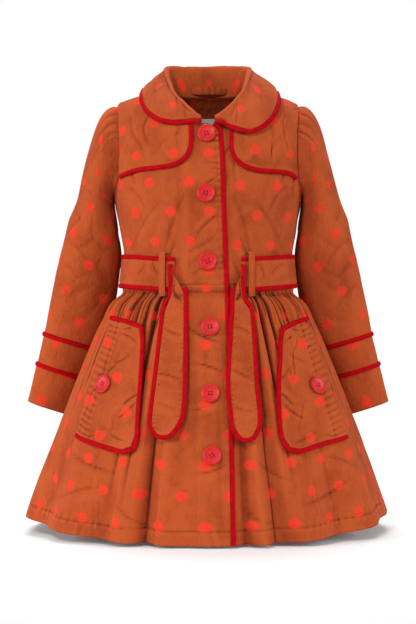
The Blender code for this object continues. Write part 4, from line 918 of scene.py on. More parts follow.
def collar_section(share):
    """Eight points from the neck seam up the stand, over the roll and down the fall to the edge."""
    columns = np.array(COLLAR_ROWS, float).T
    away, side = abs(share), (1 if share > 0 else -1)
    values = [float(eased(away, columns[0], column)) * MM for column in columns[1:]]
    roll = np.array((values[0] * side, values[1], values[2]))
    edge_x, edge_z = values[5:7] if side > 0 else values[3:5]
    behind = away < COLLAR_FRONT_SHARE
    risen = SHOULDER_RISE * bump(away, *SHOULDER_BEND)
    if not behind:
        risen += OVERLAP_LIFT * ramp(edge_z, *OVERLAP_TOP)
    edge, _ = lay(torso, *torso_place(edge_x * side, edge_z, back=behind), COLLAR_LIFT + risen)
    if behind:
        seam_x, seam_z = back_neck(1 - away / COLLAR_FRONT_SHARE)
    else:
        seam_x, seam_z = neck_line(1 - (away - COLLAR_FRONT_SHARE) / (1 - COLLAR_FRONT_SHARE))
    seam = torso(*torso_place(seam_x * side, seam_z, back=behind))
    stand = np.linalg.norm(roll - seam)
    seam = seam + COLLAR_SEAM * (roll - seam) / stand
    outward = unit(np.append(roll[:2] - NECK_MIDDLE, 0))
    radius = min(ROLL_RADIUS, 0.28 * stand)
    dip = np.array((0, 0, 1.2 * radius))
    roll_in, roll_out = roll - outward * radius - dip, roll + outward * radius - dip
    fall = edge - roll_out
    reach = min(np.linalg.norm(fall) / FULL_FALL, 1)
    bulge = reach * (outward * FALL_BULGE[0] + np.array((0, 0, FALL_BULGE[1])))
    edge = edge - fall * min(BINDING_WIDTH * 0.95 / np.linalg.norm(fall), 0.8)
    first, second = roll_out + 0.4 * fall + bulge, roll_out + 0.72 * fall + 0.7 * bulge
    if np.linalg.norm(fall) < 3.2 * BINDING_WIDTH:
        first, second = roll_out + 0.33 * (edge - roll_out), roll_out + 0.66 * (edge - roll_out)
    return np.array([seam, (seam + roll_in) / 2, roll_in, roll, roll_out, first, second, edge])


def strip_path(points, spacing=3 * MM, closed=False):
    """The same path with even steps, as a smooth curve."""
    points = np.vstack([points, points[:1]]) if closed else points
    length = np.sum(np.linalg.norm(np.diff(points, axis=0), axis=1))
    path = course(points)(np.linspace(0, 1, int(length / spacing) + 2))
    return path[:-1] if closed else path


STRIP_SINK = 0.5 * MM  # how far its underside goes into the cloth
STRIP_SECTION = (  # across and up, as shares of the half width and the height
    (-1.0, 0.0), (-1.02, 0.30), (-0.86, 0.72), (-0.45, 0.97),
    (0.0, 1.0), (0.45, 0.97), (0.86, 0.72), (1.02, 0.30), (1.0, 0.0),
)  # fmt: skip


SEWN_STRIPS = []  # each strip's name, path, outward normals, half width across and height


def binding_piece(node, path, normals, width=BINDING_WIDTH, height=BINDING_HEIGHT, closed=False):
    """A padded strip along a path that is the middle of its underside."""
    along = np.roll(path, -1, 0) - np.roll(path, 1, 0)
    if not closed:
        along[0], along[-1] = path[1] - path[0], path[-1] - path[-2]
    across, over = unit(np.cross(along, normals)), unit(normals)
    run = run_along(path)
    uneven = 1 + 0.05 * np.sin(run / (7 * MM) + 2 * np.sin(run / (31 * MM))) + 0.03 * np.sin(run / (2.9 * MM))
    section = np.array(STRIP_SECTION)
    rim = path[:, None] + across[:, None] * section[None, :, :1] * width / 2
    up = section[None, :, 1:] * (height * uneven[:, None, None] + STRIP_SINK) - STRIP_SINK
    rim = rim + over[:, None] * up
    count, sides = len(path), len(section)
    step = count if closed else count - 1
    r, k = (index.ravel() for index in np.meshgrid(np.arange(step), np.arange(sides), indexing="ij"))
    corners = [(r, k), (r, k + 1), (r + 1, k + 1), (r + 1, k)]
    faces = np.stack([(i % count) * sides + j % sides for i, j in corners], 1)
    run = np.append(run, run[-1] + np.linalg.norm(path[0] - path[-1]))
    uv = np.stack([np.stack([j * width / 6, run[i]], -1) for i, j in corners], 1)
    points = rim.reshape(-1, 3)
    if not closed:
        middles = [rim[0].mean(axis=0), rim[-1].mean(axis=0)]
        points = np.vstack([points, middles])
        j = np.arange(sides)
        for end, middle in ((0, count * sides), ((count - 1) * sides, count * sides + 1)):
            cap = np.stack([end + j, end + (j + 1) % sides, 0 * j + middle, 0 * j + middle], 1)
            turned = cap if end else cap[:, [1, 0, 2, 3]]
            faces, uv = np.vstack([faces, turned]), np.concatenate([uv, np.zeros((sides, 4, 2))])
    SEWN_STRIPS.append((node, path, over, across * width / 2, height))
    dressed(f"{node}_strip", node, strip_mesh(node, points, faces, uv), sharp_from=50)


def strip_mesh(node, points, faces, uv):
    """Quads, and the triangles of the end caps, which repeat their last corner."""
    triangles = faces[:, 2] == faces[:, 3]
    mesh = bpy.data.meshes.new(f"{node}_strip")
    listed = [face[:3] if short else face for face, short in zip(faces.tolist(), triangles)]
    mesh.from_pydata(points.tolist(), [], listed)
    flat = [uv[i, : 3 if short else 4] for i, short in enumerate(triangles)]
    mesh.uv_layers.new(name="cut").data.foreach_set("uv", np.concatenate(flat).astype(np.float32).ravel())
    mesh.materials.append(BIAS)
    fixed = bmesh.new()
    fixed.from_mesh(mesh)
    bmesh.ops.recalc_face_normals(fixed, faces=fixed.faces)
    fixed.to_mesh(mesh)
    fixed.free()
    return mesh


BIAS_RED, BIAS_DEEP = (0.440, 0.0015, 0.006), (0.320, 0.001, 0.004)


def bias_tape():
    """Matte red cotton cut on the bias, with faint slanting drag marks."""
    material, cut, shader = new_finish("red_bias_tape", 0.8, specular=0.04)
    drag = cut.stretched(260, 120).noise(1.0, 3.0, 0.6)
    colour = drag.smooth(0.35, 0.7).mixed(BIAS_RED, BIAS_DEEP)
    cut.tree.links.new(colour.socket, shader.inputs["Base Color"])
    weave_bump(cut, shader, 0.8 * MM, 0.03 * MM, drag * (0.7 * MM))
    return material


BIAS = bias_tape()
half = np.linspace(0, 1, COLLAR_HALF)[1:]
shares = np.concatenate([-half[::-1], [0], half])
coarse = np.stack([collar_section(share) for share in shares], 1)
at = rows_of(8, 6), rows_of(2 * COLLAR_HALF - 1, 6)
collar_grid = finer_grid(coarse, at)
normals = grid_normals(collar_grid)
if normals[ROLL_ROW, collar_grid.shape[1] // 2, 2] < 0:
    normals = -normals
swell = folds(collar_grid, COLLAR_FOLDS) * ramp(at[0], 3.5, 4.5)[:, None]
swell = swell + 0.5 * MM * drift(collar_grid, 0.05, 21) * ramp(at[0], 0.5, 3)[:, None]
swell = swell + rumple(collar_grid, 0.05, 1.8 * MM, 24) * ramp(at[0], 0.5, 3)[:, None]
swell = swell * (1 - ramp(at[0], 6.2, 7)[:, None])
collar_grid = collar_grid + normals * swell[..., None]
around, down = run_along(collar_grid[FALL_ROW]), run_along(collar_grid[:, BACK_COLUMN])
cut = np.stack(np.broadcast_arrays(around[None], -down[:, None]), -1) + (0.031, 0.012)
collar = cloth_piece("collar", collar_grid, normals, cut, COTTON, DOUBLE, at=at)
collar_edge, collar_over = collar_grid[-1], normals[-1]
step = collar_grid[-1] - collar_grid[-5]
along = unit(np.gradient(collar_edge, axis=0))
step -= along * np.sum(step * along, axis=1, keepdims=True)
path = collar_edge + unit(step) * (EDGE_INSET - 0.2 * MM)
share = np.linspace(0, 1, 190)
path, over = course(path[3:-3:3], 4)(share), course(collar_over[3:-3:3], 4)(share)
binding_piece("collar_binding", path, over)

# ---- Storm flaps ---------------------------------------------------------------------------------
# A flap of two layers lies over each front from the shoulder; only its round-cornered free edge,
# bound in red, stands off the chest. It is caught in the shoulder, neck and armhole seams.

FLAP_OUTLINES = {  # x, z from the armhole along the lower edge and up the inner edge to the neck
    -1: (
        (116, -129), (108, -126), (90, -122), (70, -120.5), (50, -118),
        (35, -112), (24.5, -103), (19.5, -87), (19.5, -62),
    ),
    1: (
        (116, -131), (108, -126), (90, -125), (66, -124), (47, -118),
        (34.5, -108), (28.5, -95), (28, -82), (28, -68),
    ),
}  # fmt: skip
FLAP_CORNER, FLAP_NECK_SCALE, FLAP_ARMHOLE_MARGIN = 0.68, 1.1, 1.8
FLAP_LIFT = CLOTH + 1.7 * MM
FLAP_DOT = {-1: (-45, -99.3), 1: (62.6, -94.2)}  # x, z of one dot
FLAP_FOLDS = (  # x, z, to x, z, half_width, depth, bow
    (-100, -70, -84, -116, 6, -0.9, -3),
    (-60, -84, -40, -112, 8, 0.9, 4),
    (-106, -40, -98, -80, 5, -0.8, 2),
    (98, -70, 80, -118, 6, -0.9, 3),
    (62, -84, 44, -112, 8, 0.9, -4),
    (108, -40, 98, -84, 5, -0.8, -2),
)


def inset(points, distance):
    """A front-view outline moved to its left."""
    along = np.gradient(points, axis=0)
    side = np.stack([-along[:, 1], along[:, 0]], axis=-1)
    return points + distance * unit(side)


for side, name in ((-1, "right"), (1, "left")):
    outline = course(np.array(FLAP_OUTLINES[side]) * (side * MM, MM))
    shares = np.linspace(0, FLAP_CORNER, 12)
    edge = outline(np.append(shares[:-1], np.linspace(FLAP_CORNER, 1, 10)))
    cloth_edge = inset(edge, -side * BINDING_WIDTH * 0.9)
    lower, inner = places(cloth_edge[:12]), places(cloth_edge[11:])
    start = (cloth_edge[0, 1] - UNDERARM) / (ARMHOLE_POINTS[0][1] * MM - UNDERARM)
    outer = armhole(10, side, start=start)
    outer[:, 0] -= side * FLAP_ARMHOLE_MARGIN
    outer[0] = lower[0]
    tip_x = np.linspace(SHOULDER_TIP_X - 4 * MM, SIDE_NECK_X + 5 * MM, 6) * side
    along_neck = neck_line(np.linspace(0.9, 0.3, 6)) * (side * FLAP_NECK_SCALE, FLAP_NECK_SCALE)
    along_neck[-1] = cloth_edge[-1]
    top = places(np.vstack([np.stack([tip_x, shoulder_height(tip_x)], 1), along_neck]))
    outer[-1] = top[0]
    at = rows_of(10, 7), rows_of(12, 7)
    grid = coons(lower, top, outer, inner)
    grid = finer_grid(grid, at)
    angle, level = grid[..., 0], np.minimum(grid[..., 1], -SEAM)
    lift = FLAP_LIFT + (overlap_lift(angle, level) if side < 0 else 0)
    under, normals = lay(torso, angle, level, lift)
    swell = folds(under, FLAP_FOLDS) + 0.6 * MM * drift(under, 0.06, 31 + side)
    swell = swell + rumple(under, 0.05, 1.4 * MM, 34 + side)
    free = ramp(at[0], 0, 2)[:, None] * ramp(at[1][-1] - at[1], 0, 2)[None]
    under = under + normals * (swell * free)[..., None]
    cut, normals = bodice_cut(grid, FLAP_DOT[side]), normals_like(under, normals)
    flap = cloth_piece(f"storm_flap_{name}", under, normals, cut, COTTON, DOUBLE, at=at)
    middle = places(strip_path(inset(edge, -side * BINDING_WIDTH / 2)))
    lift = FLAP_LIFT + (overlap_lift(middle[:, 0], middle[:, 1]) if side < 0 else 0)
    path, over = lay(torso, middle[:, 0], middle[:, 1], lift)
    binding_piece(f"storm_flap_binding_{name}", path, over)

# ---- Sleeves -------------------------------------------------------------------------------------
# Each sleeve is one tube of dotted cotton, gathered over its head into the armhole. Two red strips
# are stitched round its end, with a plain band between them and a faced cuff below.

SLEEVE_RINGS = (  # from the upper arm to the hem, for the left sleeve; tilt and turn in degrees
    # x, y, z, half_width, half_depth, turn, tilt
    (157, 3, -158, 26, 45, 0, 12),
    (162.5, 8, -192, 33, 42, 5, 12),
    (165.5, 15, -230, 39.5, 37, 10, 12),
    (173, 24, -270, 42.5, 32, 16, 13),
    (183, 33, -314, 43, 29, 20, 15),
    (192.5, 40, -354, 43, 27, 23, 17),  # the upper binding
    (204, 48, -397, 43, 25, 25, 18),  # the lower binding
    (219, 57, -452, 43, 24, 26, 19),  # the hem
)
UPPER_BINDING, LOWER_BINDING, SLEEVE_HEM = 5, 6, 7
CAP_ROWS, CAP_END, CAP_OUT, CAP_DOWN = 24, 0.15, 0.75, 0.95
HEAD_GATHERS, HEAD_GATHER = 11, 1.1 * MM  # over the head, and their depth
SLEEVE_FOLDS = (  # row and turn, to row and turn, half width in mm, depth in mm
    (0.3, 20, 1.3, 70, 7, -2.0),
    (0.5, 60, 1.6, 10, 6, -1.6),
    (1.1, 100, 1.9, 50, 7, -1.8),
    (1.6, 20, 2.4, 84, 8, -2.2),
    (1.9, 110, 2.9, 60, 7, -2.0),
    (2.3, 10, 3.0, 64, 7, -2.2),
    (2.8, 100, 3.5, 40, 8, -2.0),
    (3.2, 20, 3.9, 80, 7, -1.8),
    (3.7, 110, 4.3, 50, 6, -1.5),
    (1.0, -40, 1.8, -80, 8, -1.8),
    (2.0, -30, 2.8, -90, 8, -2.0),
    (3.0, -40, 3.8, -100, 8, -1.8),
    (0.6, 150, 1.5, 190, 8, -1.8),
    (2.2, 160, 3.2, 200, 8, -1.8),
    (0.4, 38, 2.6, 30, 10, 1.4),
    (2.6, 44, 4.4, 30, 10, 1.2),
)
SLEEVE_SOFTNESS, SLEEVE_CALM, TOWARDS_BODY = 1.7, 0.75, 3.5 * MM
SLEEVE_COLUMNS, SLEEVE_ROWS, SLEEVE_CUT_RADIUS = 144, 73, 38 * MM
CUT_LENGTHS = {"band": 45 * MM, "cuff": 57 * MM}
RINGS = np.array(SLEEVE_RINGS, float)


def sleeve_tube(row, turn, side):
    """Places on a sleeve: 0 is its outer side, 90 its front, 180 underneath."""
    values = [eased(np.asarray(row, float), np.arange(8.0), column) for column in RINGS.T]
    x, y, z, half_width, half_depth = [value * MM for value in values[:5]]
    turned, tilt = np.radians(values[5]), np.radians(values[6])
    out = np.stack([np.cos(tilt), 0 * x, np.sin(tilt)], -1)
    front = np.stack([0 * x, 0 * x - 1, 0 * x], -1)
    wide = out * np.cos(turned)[..., None] + front * np.sin(turned)[..., None]
    deep = front * np.cos(turned)[..., None] - out * np.sin(turned)[..., None]
    c, s = np.cos(np.radians(turn)), np.sin(np.radians(turn))
    around = wide * (half_width * c)[..., None] + deep * (half_depth * s)[..., None]
    return (np.stack([x, y, z], -1) + around) * (side, 1, 1)


def armhole_ring(turns, side):
    """The sleeve's first ring, just inside the armhole and just outside the bodice."""
    around = np.abs((turns + 180) % 360 - 180) / 180
    line = course(np.array(ARMHOLE_POINTS) * MM)(around)
    front = torso(*np.moveaxis(places(line), -1, 0))
    back = torso(*np.moveaxis(places(line, back=True), -1, 0))
    blend = (0.5 + 0.5 * np.clip(np.sin(np.radians(turns)) * 12, -1, 1))[:, None]
    ring = front * blend + back * (1 - blend)
    inward = unit(ring.mean(axis=0) - ring)
    return (ring + inward * CLOTH + (1 * MM, 0, 0)) * (side, 1, 1)


def sleeve_cap(turns, side):
    start, end = armhole_ring(turns, side), sleeve_tube(CAP_END + 0 * turns, turns, side)
    later = sleeve_tube(CAP_END + 0.3 + 0 * turns, turns, side)
    down = unit(later - end)
    reach = np.linalg.norm(end - start, axis=1, keepdims=True)
    s, c = np.sin(np.radians(turns)), np.cos(np.radians(turns))
    out = np.stack([side + 0 * turns, -0.25 * s, 0.22 * c], 1)
    rows = []
    for t in np.linspace(0, 1, CAP_ROWS + 1):
        near = start * (1 + 2 * t) * (1 - t) ** 2 + out * reach * CAP_OUT * t * (1 - t) ** 2
        rows.append(near + end * t * t * (3 - 2 * t) - down * reach * CAP_DOWN * t * t * (1 - t))
    return np.array(rows)


def sleeve_swell(rows, turns):
    """The folds of an arm hanging slightly bent, as depths over the sleeve's grid."""
    out = np.zeros((len(rows), len(turns)))
    for row0, turn0, row1, turn1, width, depth in SLEEVE_FOLDS:
        du, dv = (row1 - row0) * 40, (turn1 - turn0) * 0.65
        length = math.hypot(du, dv)
        for lap in (-360, 0, 360):
            u, v = (rows[:, None] - row0) * 40, (turns[None] + lap - turn0) * 0.65
            t = (u * du + v * dv) / length**2
            off = (u * dv - v * du) / length
            taper = np.clip(4 * t * (1 - t), 0, 1) ** 0.7
            wide = SLEEVE_SOFTNESS * width
            out += depth * taper * (crease(off + 5 * taper, wide) - 0.45 * bump(off, 1.7 * wide, wide))
    return out * SLEEVE_CALM * MM


def tube_normals(grid):
    normals, away = grid_normals(grid, closed=True), grid - grid.mean(axis=1, keepdims=True)
    return -normals if np.sum(normals[-1] * away[-1]) < 0 else normals


def sleeve_cut(down, side):
    turn = np.linspace(0, 2 * math.pi, SLEEVE_COLUMNS + 1)[None] * SLEEVE_CUT_RADIUS
    return np.stack(np.broadcast_arrays(turn + 0.02 * side, -down[:, None]), -1)


for side, name in ((-1, "right"), (1, "left")):
    turns = np.linspace(-180, 180, SLEEVE_COLUMNS, endpoint=False)
    tube_rows = np.linspace(CAP_END, UPPER_BINDING - 0.02, SLEEVE_ROWS + 1)[1:]
    cap = sleeve_cap(turns, side)
    grid = np.concatenate([cap, [sleeve_tube(row + 0 * turns, turns, side) for row in tube_rows]])
    rows = np.concatenate([np.linspace(-1.1, CAP_END, CAP_ROWS + 1), tube_rows])
    head = ramp(np.cos(np.radians(turns)), 0.35, 0.75)
    pleat = np.cos(np.pi * (turns / 156 * 2 * HEAD_GATHERS + 0.6 * np.sin(np.radians(turns * 5))))
    pleat = 2 * ((1 + pleat) / 2) ** 0.65 - 1
    fade = np.interp(np.arange(len(rows)), (0, 2, 6, 12, 20), (0.35, 1, 0.5, 0.1, 0))
    long_fade = 1 + 0.5 * np.sin(np.radians(turns) * 7 + side)
    swell = HEAD_GATHER * (head * pleat * long_fade)[None] * fade[:, None] + sleeve_swell(rows, turns)
    unevenness = 0.8 * MM * drift(grid, 0.07, 41 + side) + rumple(grid, 0.07, 1.4 * MM, 43 + side)
    swell = swell + unevenness * ramp(rows, -0.8, 0.2)[:, None]
    upper_arm = ramp(rows, 0, 1) * (1 - ramp(rows, 3.2, 4))
    inner_side = ramp(-np.cos(np.radians(turns)), 0.2, 1)
    swell = swell + TOWARDS_BODY * (inner_side[None] * upper_arm[:, None])
    swell = swell * (1 - 0.85 * ramp(rows, 4.75, 4.97)[:, None])
    grid = grid + tube_normals(grid) * swell[..., None]
    down = run_along(grid[:, SLEEVE_COLUMNS // 2])
    at = (np.arange(len(grid), dtype=float),)
    cut = sleeve_cut(down, side)
    sleeve = cloth_piece(f"sleeve_{name}", grid, tube_normals(grid), cut, COTTON, at=at, closed=True)
    reach = down[-1]
    for part, first, last in (("band", UPPER_BINDING, LOWER_BINDING), ("cuff", LOWER_BINDING, SLEEVE_HEM)):
        steps = rows_of(2, 16) * (last - first - 0.02) + first + 0.01
        ring = np.array([sleeve_tube(row + 0 * turns, turns, side) for row in steps])
        ring = ring + tube_normals(ring) * (0.5 * MM * drift(ring, 0.05, 51 + side + first))[..., None]
        cut = sleeve_cut(reach + np.linspace(0, CUT_LENGTHS[part], len(steps)), side)
        reach += CUT_LENGTHS[part]
        normals = tube_normals(ring)
        tube = cloth_piece(f"sleeve_{part}_{name}", ring, normals, cut, COTTON, at=(steps,), closed=True)
    for part, row in (("upper", UPPER_BINDING), ("lower", LOWER_BINDING)):
        ring = sleeve_tube(row + 0 * turns, turns, side)
        above, below = [sleeve_tube(row + step + 0 * turns, turns, side) for step in (-0.1, 0.1)]
        over = unit(np.cross(np.roll(ring, -1, 0) - np.roll(ring, 1, 0), below - above))
        if np.sum(over * (ring - ring.mean(axis=0))) < 0:
            over = -over
        path = ring + over * (CLOTH + 0.2 * MM)
        binding_piece(f"sleeve_binding_{part}_{name}", path, over, height=2.2 * MM, closed=True)

# ---- Belt and its loops --------------------------------------------------------------------------
# A belt of two layers of plain rust cotton goes round the waist over the seam, bound in red along
# both edges. A narrow tube of cotton, sewn down at both ends, holds it on each side of the front.

BELT_TOP, BELT_BOTTOM, BELT_DROOP, BELT_FROM_X = -231 * MM, -278 * MM, 7 * MM, 44 * MM
BELT_LIFT, BELT_ROWS, BELT_COLUMNS, LOOP_ROWS, LOOP_COLUMNS = CLOTH + 2.4 * MM, 15, 240, 36, 9
LOOP_X, LOOP_WIDTH = {-1: -59 * MM, 1: 56.3 * MM}, 9 * MM
LOOP_ROUTE = (  # height, lift over the bodice
    (-230, 2.3),
    (-234.3, 5.0),
    (-237.2, 7.2),
    (-286, 7.2),
    (-290, 7.6),
)
BELT_FOLDS = (  # x, z, to x, z, half_width, depth, bow
    (-74, -240, -66, -262, 4, -0.8, 2),
    (-100, -262, -84, -244, 5, -0.7, 3),
    (-112, -248, -104, -268, 4, 0.6, 1),
    (68, -244, 74, -268, 4, -0.8, -2),
    (84, -262, 104, -244, 5, -0.7, -3),
)
start = float(torso_place(BELT_FROM_X, -255 * MM)[0])
angle = np.linspace(start, 360 - start, BELT_COLUMNS)
droop = BELT_DROOP * np.clip(np.cos(np.radians(angle)), 0, 1) ** 2
top, bottom = BELT_TOP - droop, BELT_BOTTOM - droop
inside = BINDING_WIDTH * 0.92
levels = np.linspace(bottom + inside, top - inside, BELT_ROWS)
angles = angle[None] + 0 * levels
under, normals = lay(torso, angles, levels, BELT_LIFT)
under = under + normals * (folds(under, BELT_FOLDS) + 0.35 * MM * drift(under, 0.05, 61))[..., None]
at = np.arange(BELT_ROWS, dtype=float), np.arange(BELT_COLUMNS, dtype=float)
cut = np.stack([np.radians(angles) * 112 * MM + 0.013, levels + 0.019], -1)
PLAIN_COTTON = rust_cotton("plain_rust_cotton", dotted=False)
belt = cloth_piece("belt", under, normals, cut, PLAIN_COTTON, DOUBLE, at=at)
for name, height in (("upper", top - BINDING_WIDTH / 2), ("lower", bottom + BINDING_WIDTH / 2)):
    path, over = lay(torso, angle, height, BELT_LIFT)
    binding_piece(f"belt_binding_{name}", path, over)

for side, name in ((-1, "right"), (1, "left")):
    route_heights, lifts = np.array(LOOP_ROUTE, float).T * MM
    path, over = lay(torso, *torso_place(LOOP_X[side] + 0 * route_heights, route_heights), lifts)
    fine = np.linspace(0, 1, LOOP_ROWS)
    path, over = course(path)(fine), course(over)(fine)
    share = np.linspace(-1, 1, LOOP_COLUMNS)
    across = share / 2 * LOOP_WIDTH * 0.96
    beside = np.cross(unit(np.gradient(path, axis=0)), over)
    sag = 0.25 * MM * np.sin(fine * 9)[:, None] * (share**2)[None]
    under = path[:, None] + beside[:, None] * across[None, :, None]
    normals = np.broadcast_to(over[:, None], under.shape)
    under = under + normals * sag[..., None]
    cut = np.stack(np.broadcast_arrays(across[None] + 0.026, fine[:, None] * 0.062 + 0.02), -1)
    at = np.arange(LOOP_ROWS, dtype=float), np.arange(LOOP_COLUMNS, dtype=float)
    loop = cloth_piece(f"belt_loop_{name}", under, normals, cut, PLAIN_COTTON, 1.6 * MM, at=at)

# ---- Belt ends -----------------------------------------------------------------------------------
# The two ends of the belt turn down beside the loops and hang in front of the skirt. Each is bound
# in red from the loop round its tongue; the slanting fold at the top shows bare cloth.

BELT_ENDS = {  # x, z down the outer edge, round the end and up the inner edge
    -1: (
        (-53.6, -247), (-53.8, -288), (-61, -299), (-67, -343), (-71.3, -384), (-77.2, -435), (-79, -455),
        (-73, -470), (-61, -476), (-46, -473), (-33.3, -456), (-28.1, -435), (-26.3, -384), (-26, -343),
        (-25.9, -300), (-27, -281), (-36, -267), (-48, -247),
    ),
    1: (
        (50.5, -247), (50.8, -288), (59, -300), (62, -316), (64.3, -342), (67, -405), (70.5, -446),
        (68.5, -464), (61, -475.5), (49, -480), (37, -475), (29, -462), (26.5, -446), (23, -405), (26, -350),
        (28.6, -310), (30, -284), (36, -266), (46, -247),
    ),
}  # fmt: skip
END_LIFT = (  # height, how far the end hangs out from the smooth skirt
    (-620, 9.5),
    (-420, 9.0),
    (-360, 7.5),
    (-300, 6.0),
)
OVER_BELT = BELT_LIFT + BINDING_HEIGHT + 1.4 * MM
END_ROWS, END_COLUMNS, FOLD_POINTS, END_BAND = 14, 25, 2, 0.5 * MM
END_PUCKER, END_PUCKER_PITCH, END_FACING = 0.22 * MM, 6.5 * MM, (0.0, -1.0, 0.0)
END_FOLDS = (  # x, z, to x, z, half_width, depth, bow
    (-50, -262, -34, -300, 5, -1.2, 4),
    (-62, -330, -32, -342, 4, -0.8, 2),
    (-66, -392, -34, -400, 4, -0.9, -2),
    (-70, -424, -40, -436, 5, -0.8, 3),
    (44, -262, 36, -300, 5, -1.2, -4),
    (32, -330, 58, -340, 4, -0.8, -2),
    (30, -384, 62, -398, 4, -0.9, 2),
    (32, -432, 62, -440, 5, -0.8, 2),
)


def hanging(points):
    """The front-view points of a belt end, set out in front of the belt and the skirt."""
    x, z = points[..., 0], points[..., 1]
    over_belt = lay(torso, *torso_place(x, np.maximum(z, -299 * MM)), OVER_BELT)[0][..., 1]
    end_heights, lifts = np.array(END_LIFT, float).T * MM
    smoothed = skirt(*skirt_place(x, np.minimum(z, WAIST - MM)), gathered=0, folded=0)
    over_skirt = smoothed[..., 1] - np.interp(z, end_heights, lifts)
    share = ramp(-z, 282 * MM, 300 * MM)
    return np.stack([x, over_belt * (1 - share) + over_skirt * share, z], axis=-1)


for side, name in ((-1, "right"), (1, "left")):
    outline = course(np.array(BELT_ENDS[side]) * MM)
    share = np.concatenate([[0.02, 0.03], np.linspace(0.05, 0.94, END_ROWS), [0.965, 0.98, 0.99, 0.996]]) / 2
    finest = outline(np.linspace(0, 1, 401))
    cloth_edge = inset(finest, -side * BINDING_WIDTH * 0.92)
    outer, inner = [finer(cloth_edge, place * 400) for place in (share, 1 - share)]
    across = np.linspace(0, 1, END_COLUMNS)
    across = (0.5 - 0.5 * np.cos(math.pi * across)) * 0.35 + across * 0.65
    at = rows_of(len(share), 6), np.arange(END_COLUMNS, dtype=float)
    coarse = outer[:, None] * (1 - across[:, None]) + inner[:, None] * across[:, None]
    flat = finer(coarse, at[0])
    under = hanging(flat)
    from_edge = np.minimum(across, 1 - across)[None] * np.linalg.norm(flat[:, :1] - flat[:, -1:], axis=-1)
    run = flat[..., 1]
    pucker = np.sin(run * 2 * math.pi / END_PUCKER_PITCH + 2 * drift(under, 0.03, 75))
    pucker = pucker * bump(from_edge, 1.5 * MM, 3 * MM)
    bands = END_BAND * np.sin(run / (13 * MM) + 1.8 * np.sin(run / (31 * MM)) + side) ** 3
    swell = folds(under, END_FOLDS) + 0.4 * MM * drift(under, 0.06, 71 + side) + END_PUCKER * pucker + bands
    under[..., 1] -= swell * ramp(from_edge, 0, 2 * MM)
    normals = np.broadcast_to(END_FACING, under.shape)
    cut = flat + (0.009 * side, 0.012)
    tongue = cloth_piece(f"belt_end_{name}", under, normals, cut, PLAIN_COTTON, DOUBLE, at=at)
    shown = 1 - FOLD_POINTS / (2 * END_ROWS)
    middle = inset(outline(np.linspace(0, shown, 8 * END_ROWS)), -side * BINDING_WIDTH / 2)
    path = hanging(strip_path(middle))
    binding_piece(f"belt_end_binding_{name}", path, np.broadcast_to(END_FACING, path.shape))

# ---- Pockets -------------------------------------------------------------------------------------
# A patch pocket on each side of the skirt, entered from its outer edge. Its top, inner and lower
# edges are bound in red; the entry edge is turned in and stitched, and a button closes it.

POCKETS = {  # x, z along the top, down the inner side and along the lower edge to the outer corner
    -1: (
        (-129, -317), (-108, -322), (-86, -331), (-82.5, -345), (-83, -376), (-84, -405), (-86.7, -456),
        (-90, -487), (-108, -497), (-140, -491), (-174, -480),
    ),
    1: (
        (132.7, -318.5), (114, -324), (97, -333), (92.5, -346), (91, -374), (88.2, -405), (88.6, -446),
        (93, -480), (109, -496.5), (145, -491), (182, -482.5),
    ),
}  # fmt: skip
POCKET_TOP_SHARE, POCKET_SIDE_SHARE = 0.16, 0.71
POCKET_LIFT, ENTRY_HEM = CLOTH + 1.9 * MM, 12.5 * MM
POCKET_PUCKER, POCKET_PUCKER_PITCH, ENTRY_DIP, ENTRY_GAPE = 0.26 * MM, 8.5 * MM, 0.7 * MM, 1.6 * MM
POCKET_CUT_SHIFT, POCKET_CUT_TURN = (0.004, 0.021), -16  # how the dots fall
POCKET_FOLDS = (  # x, z, to x, z, half_width, depth, bow
    (-112, -434, -88, -418, 3.5, -1.5, -2),
    (-120, -452, -94, -428, 4, -1.0, 2),
    (-126, -380, -104, -366, 5, -0.8, 2),
    (-116, -340, -94, -352, 4, -0.9, -2),
    (-130, -470, -104, -480, 5, -0.8, 2),
    (112, -436, 92, -416, 3.5, -1.3, 2),
    (128, -452, 100, -432, 4, -1.0, -2),
    (132, -378, 108, -366, 5, -0.8, -2),
    (118, -342, 100, -354, 4, -0.9, 2),
    (144, -468, 112, -482, 5, -0.8, -2),
)


def smooth_skirt(angle, drop):
    return skirt(angle, drop, gathered=0)


def on_skirt(points, lift):
    angle, drop = skirt_place(points[..., 0], points[..., 1])
    return lay(smooth_skirt, angle, drop, lift, outward=-1)


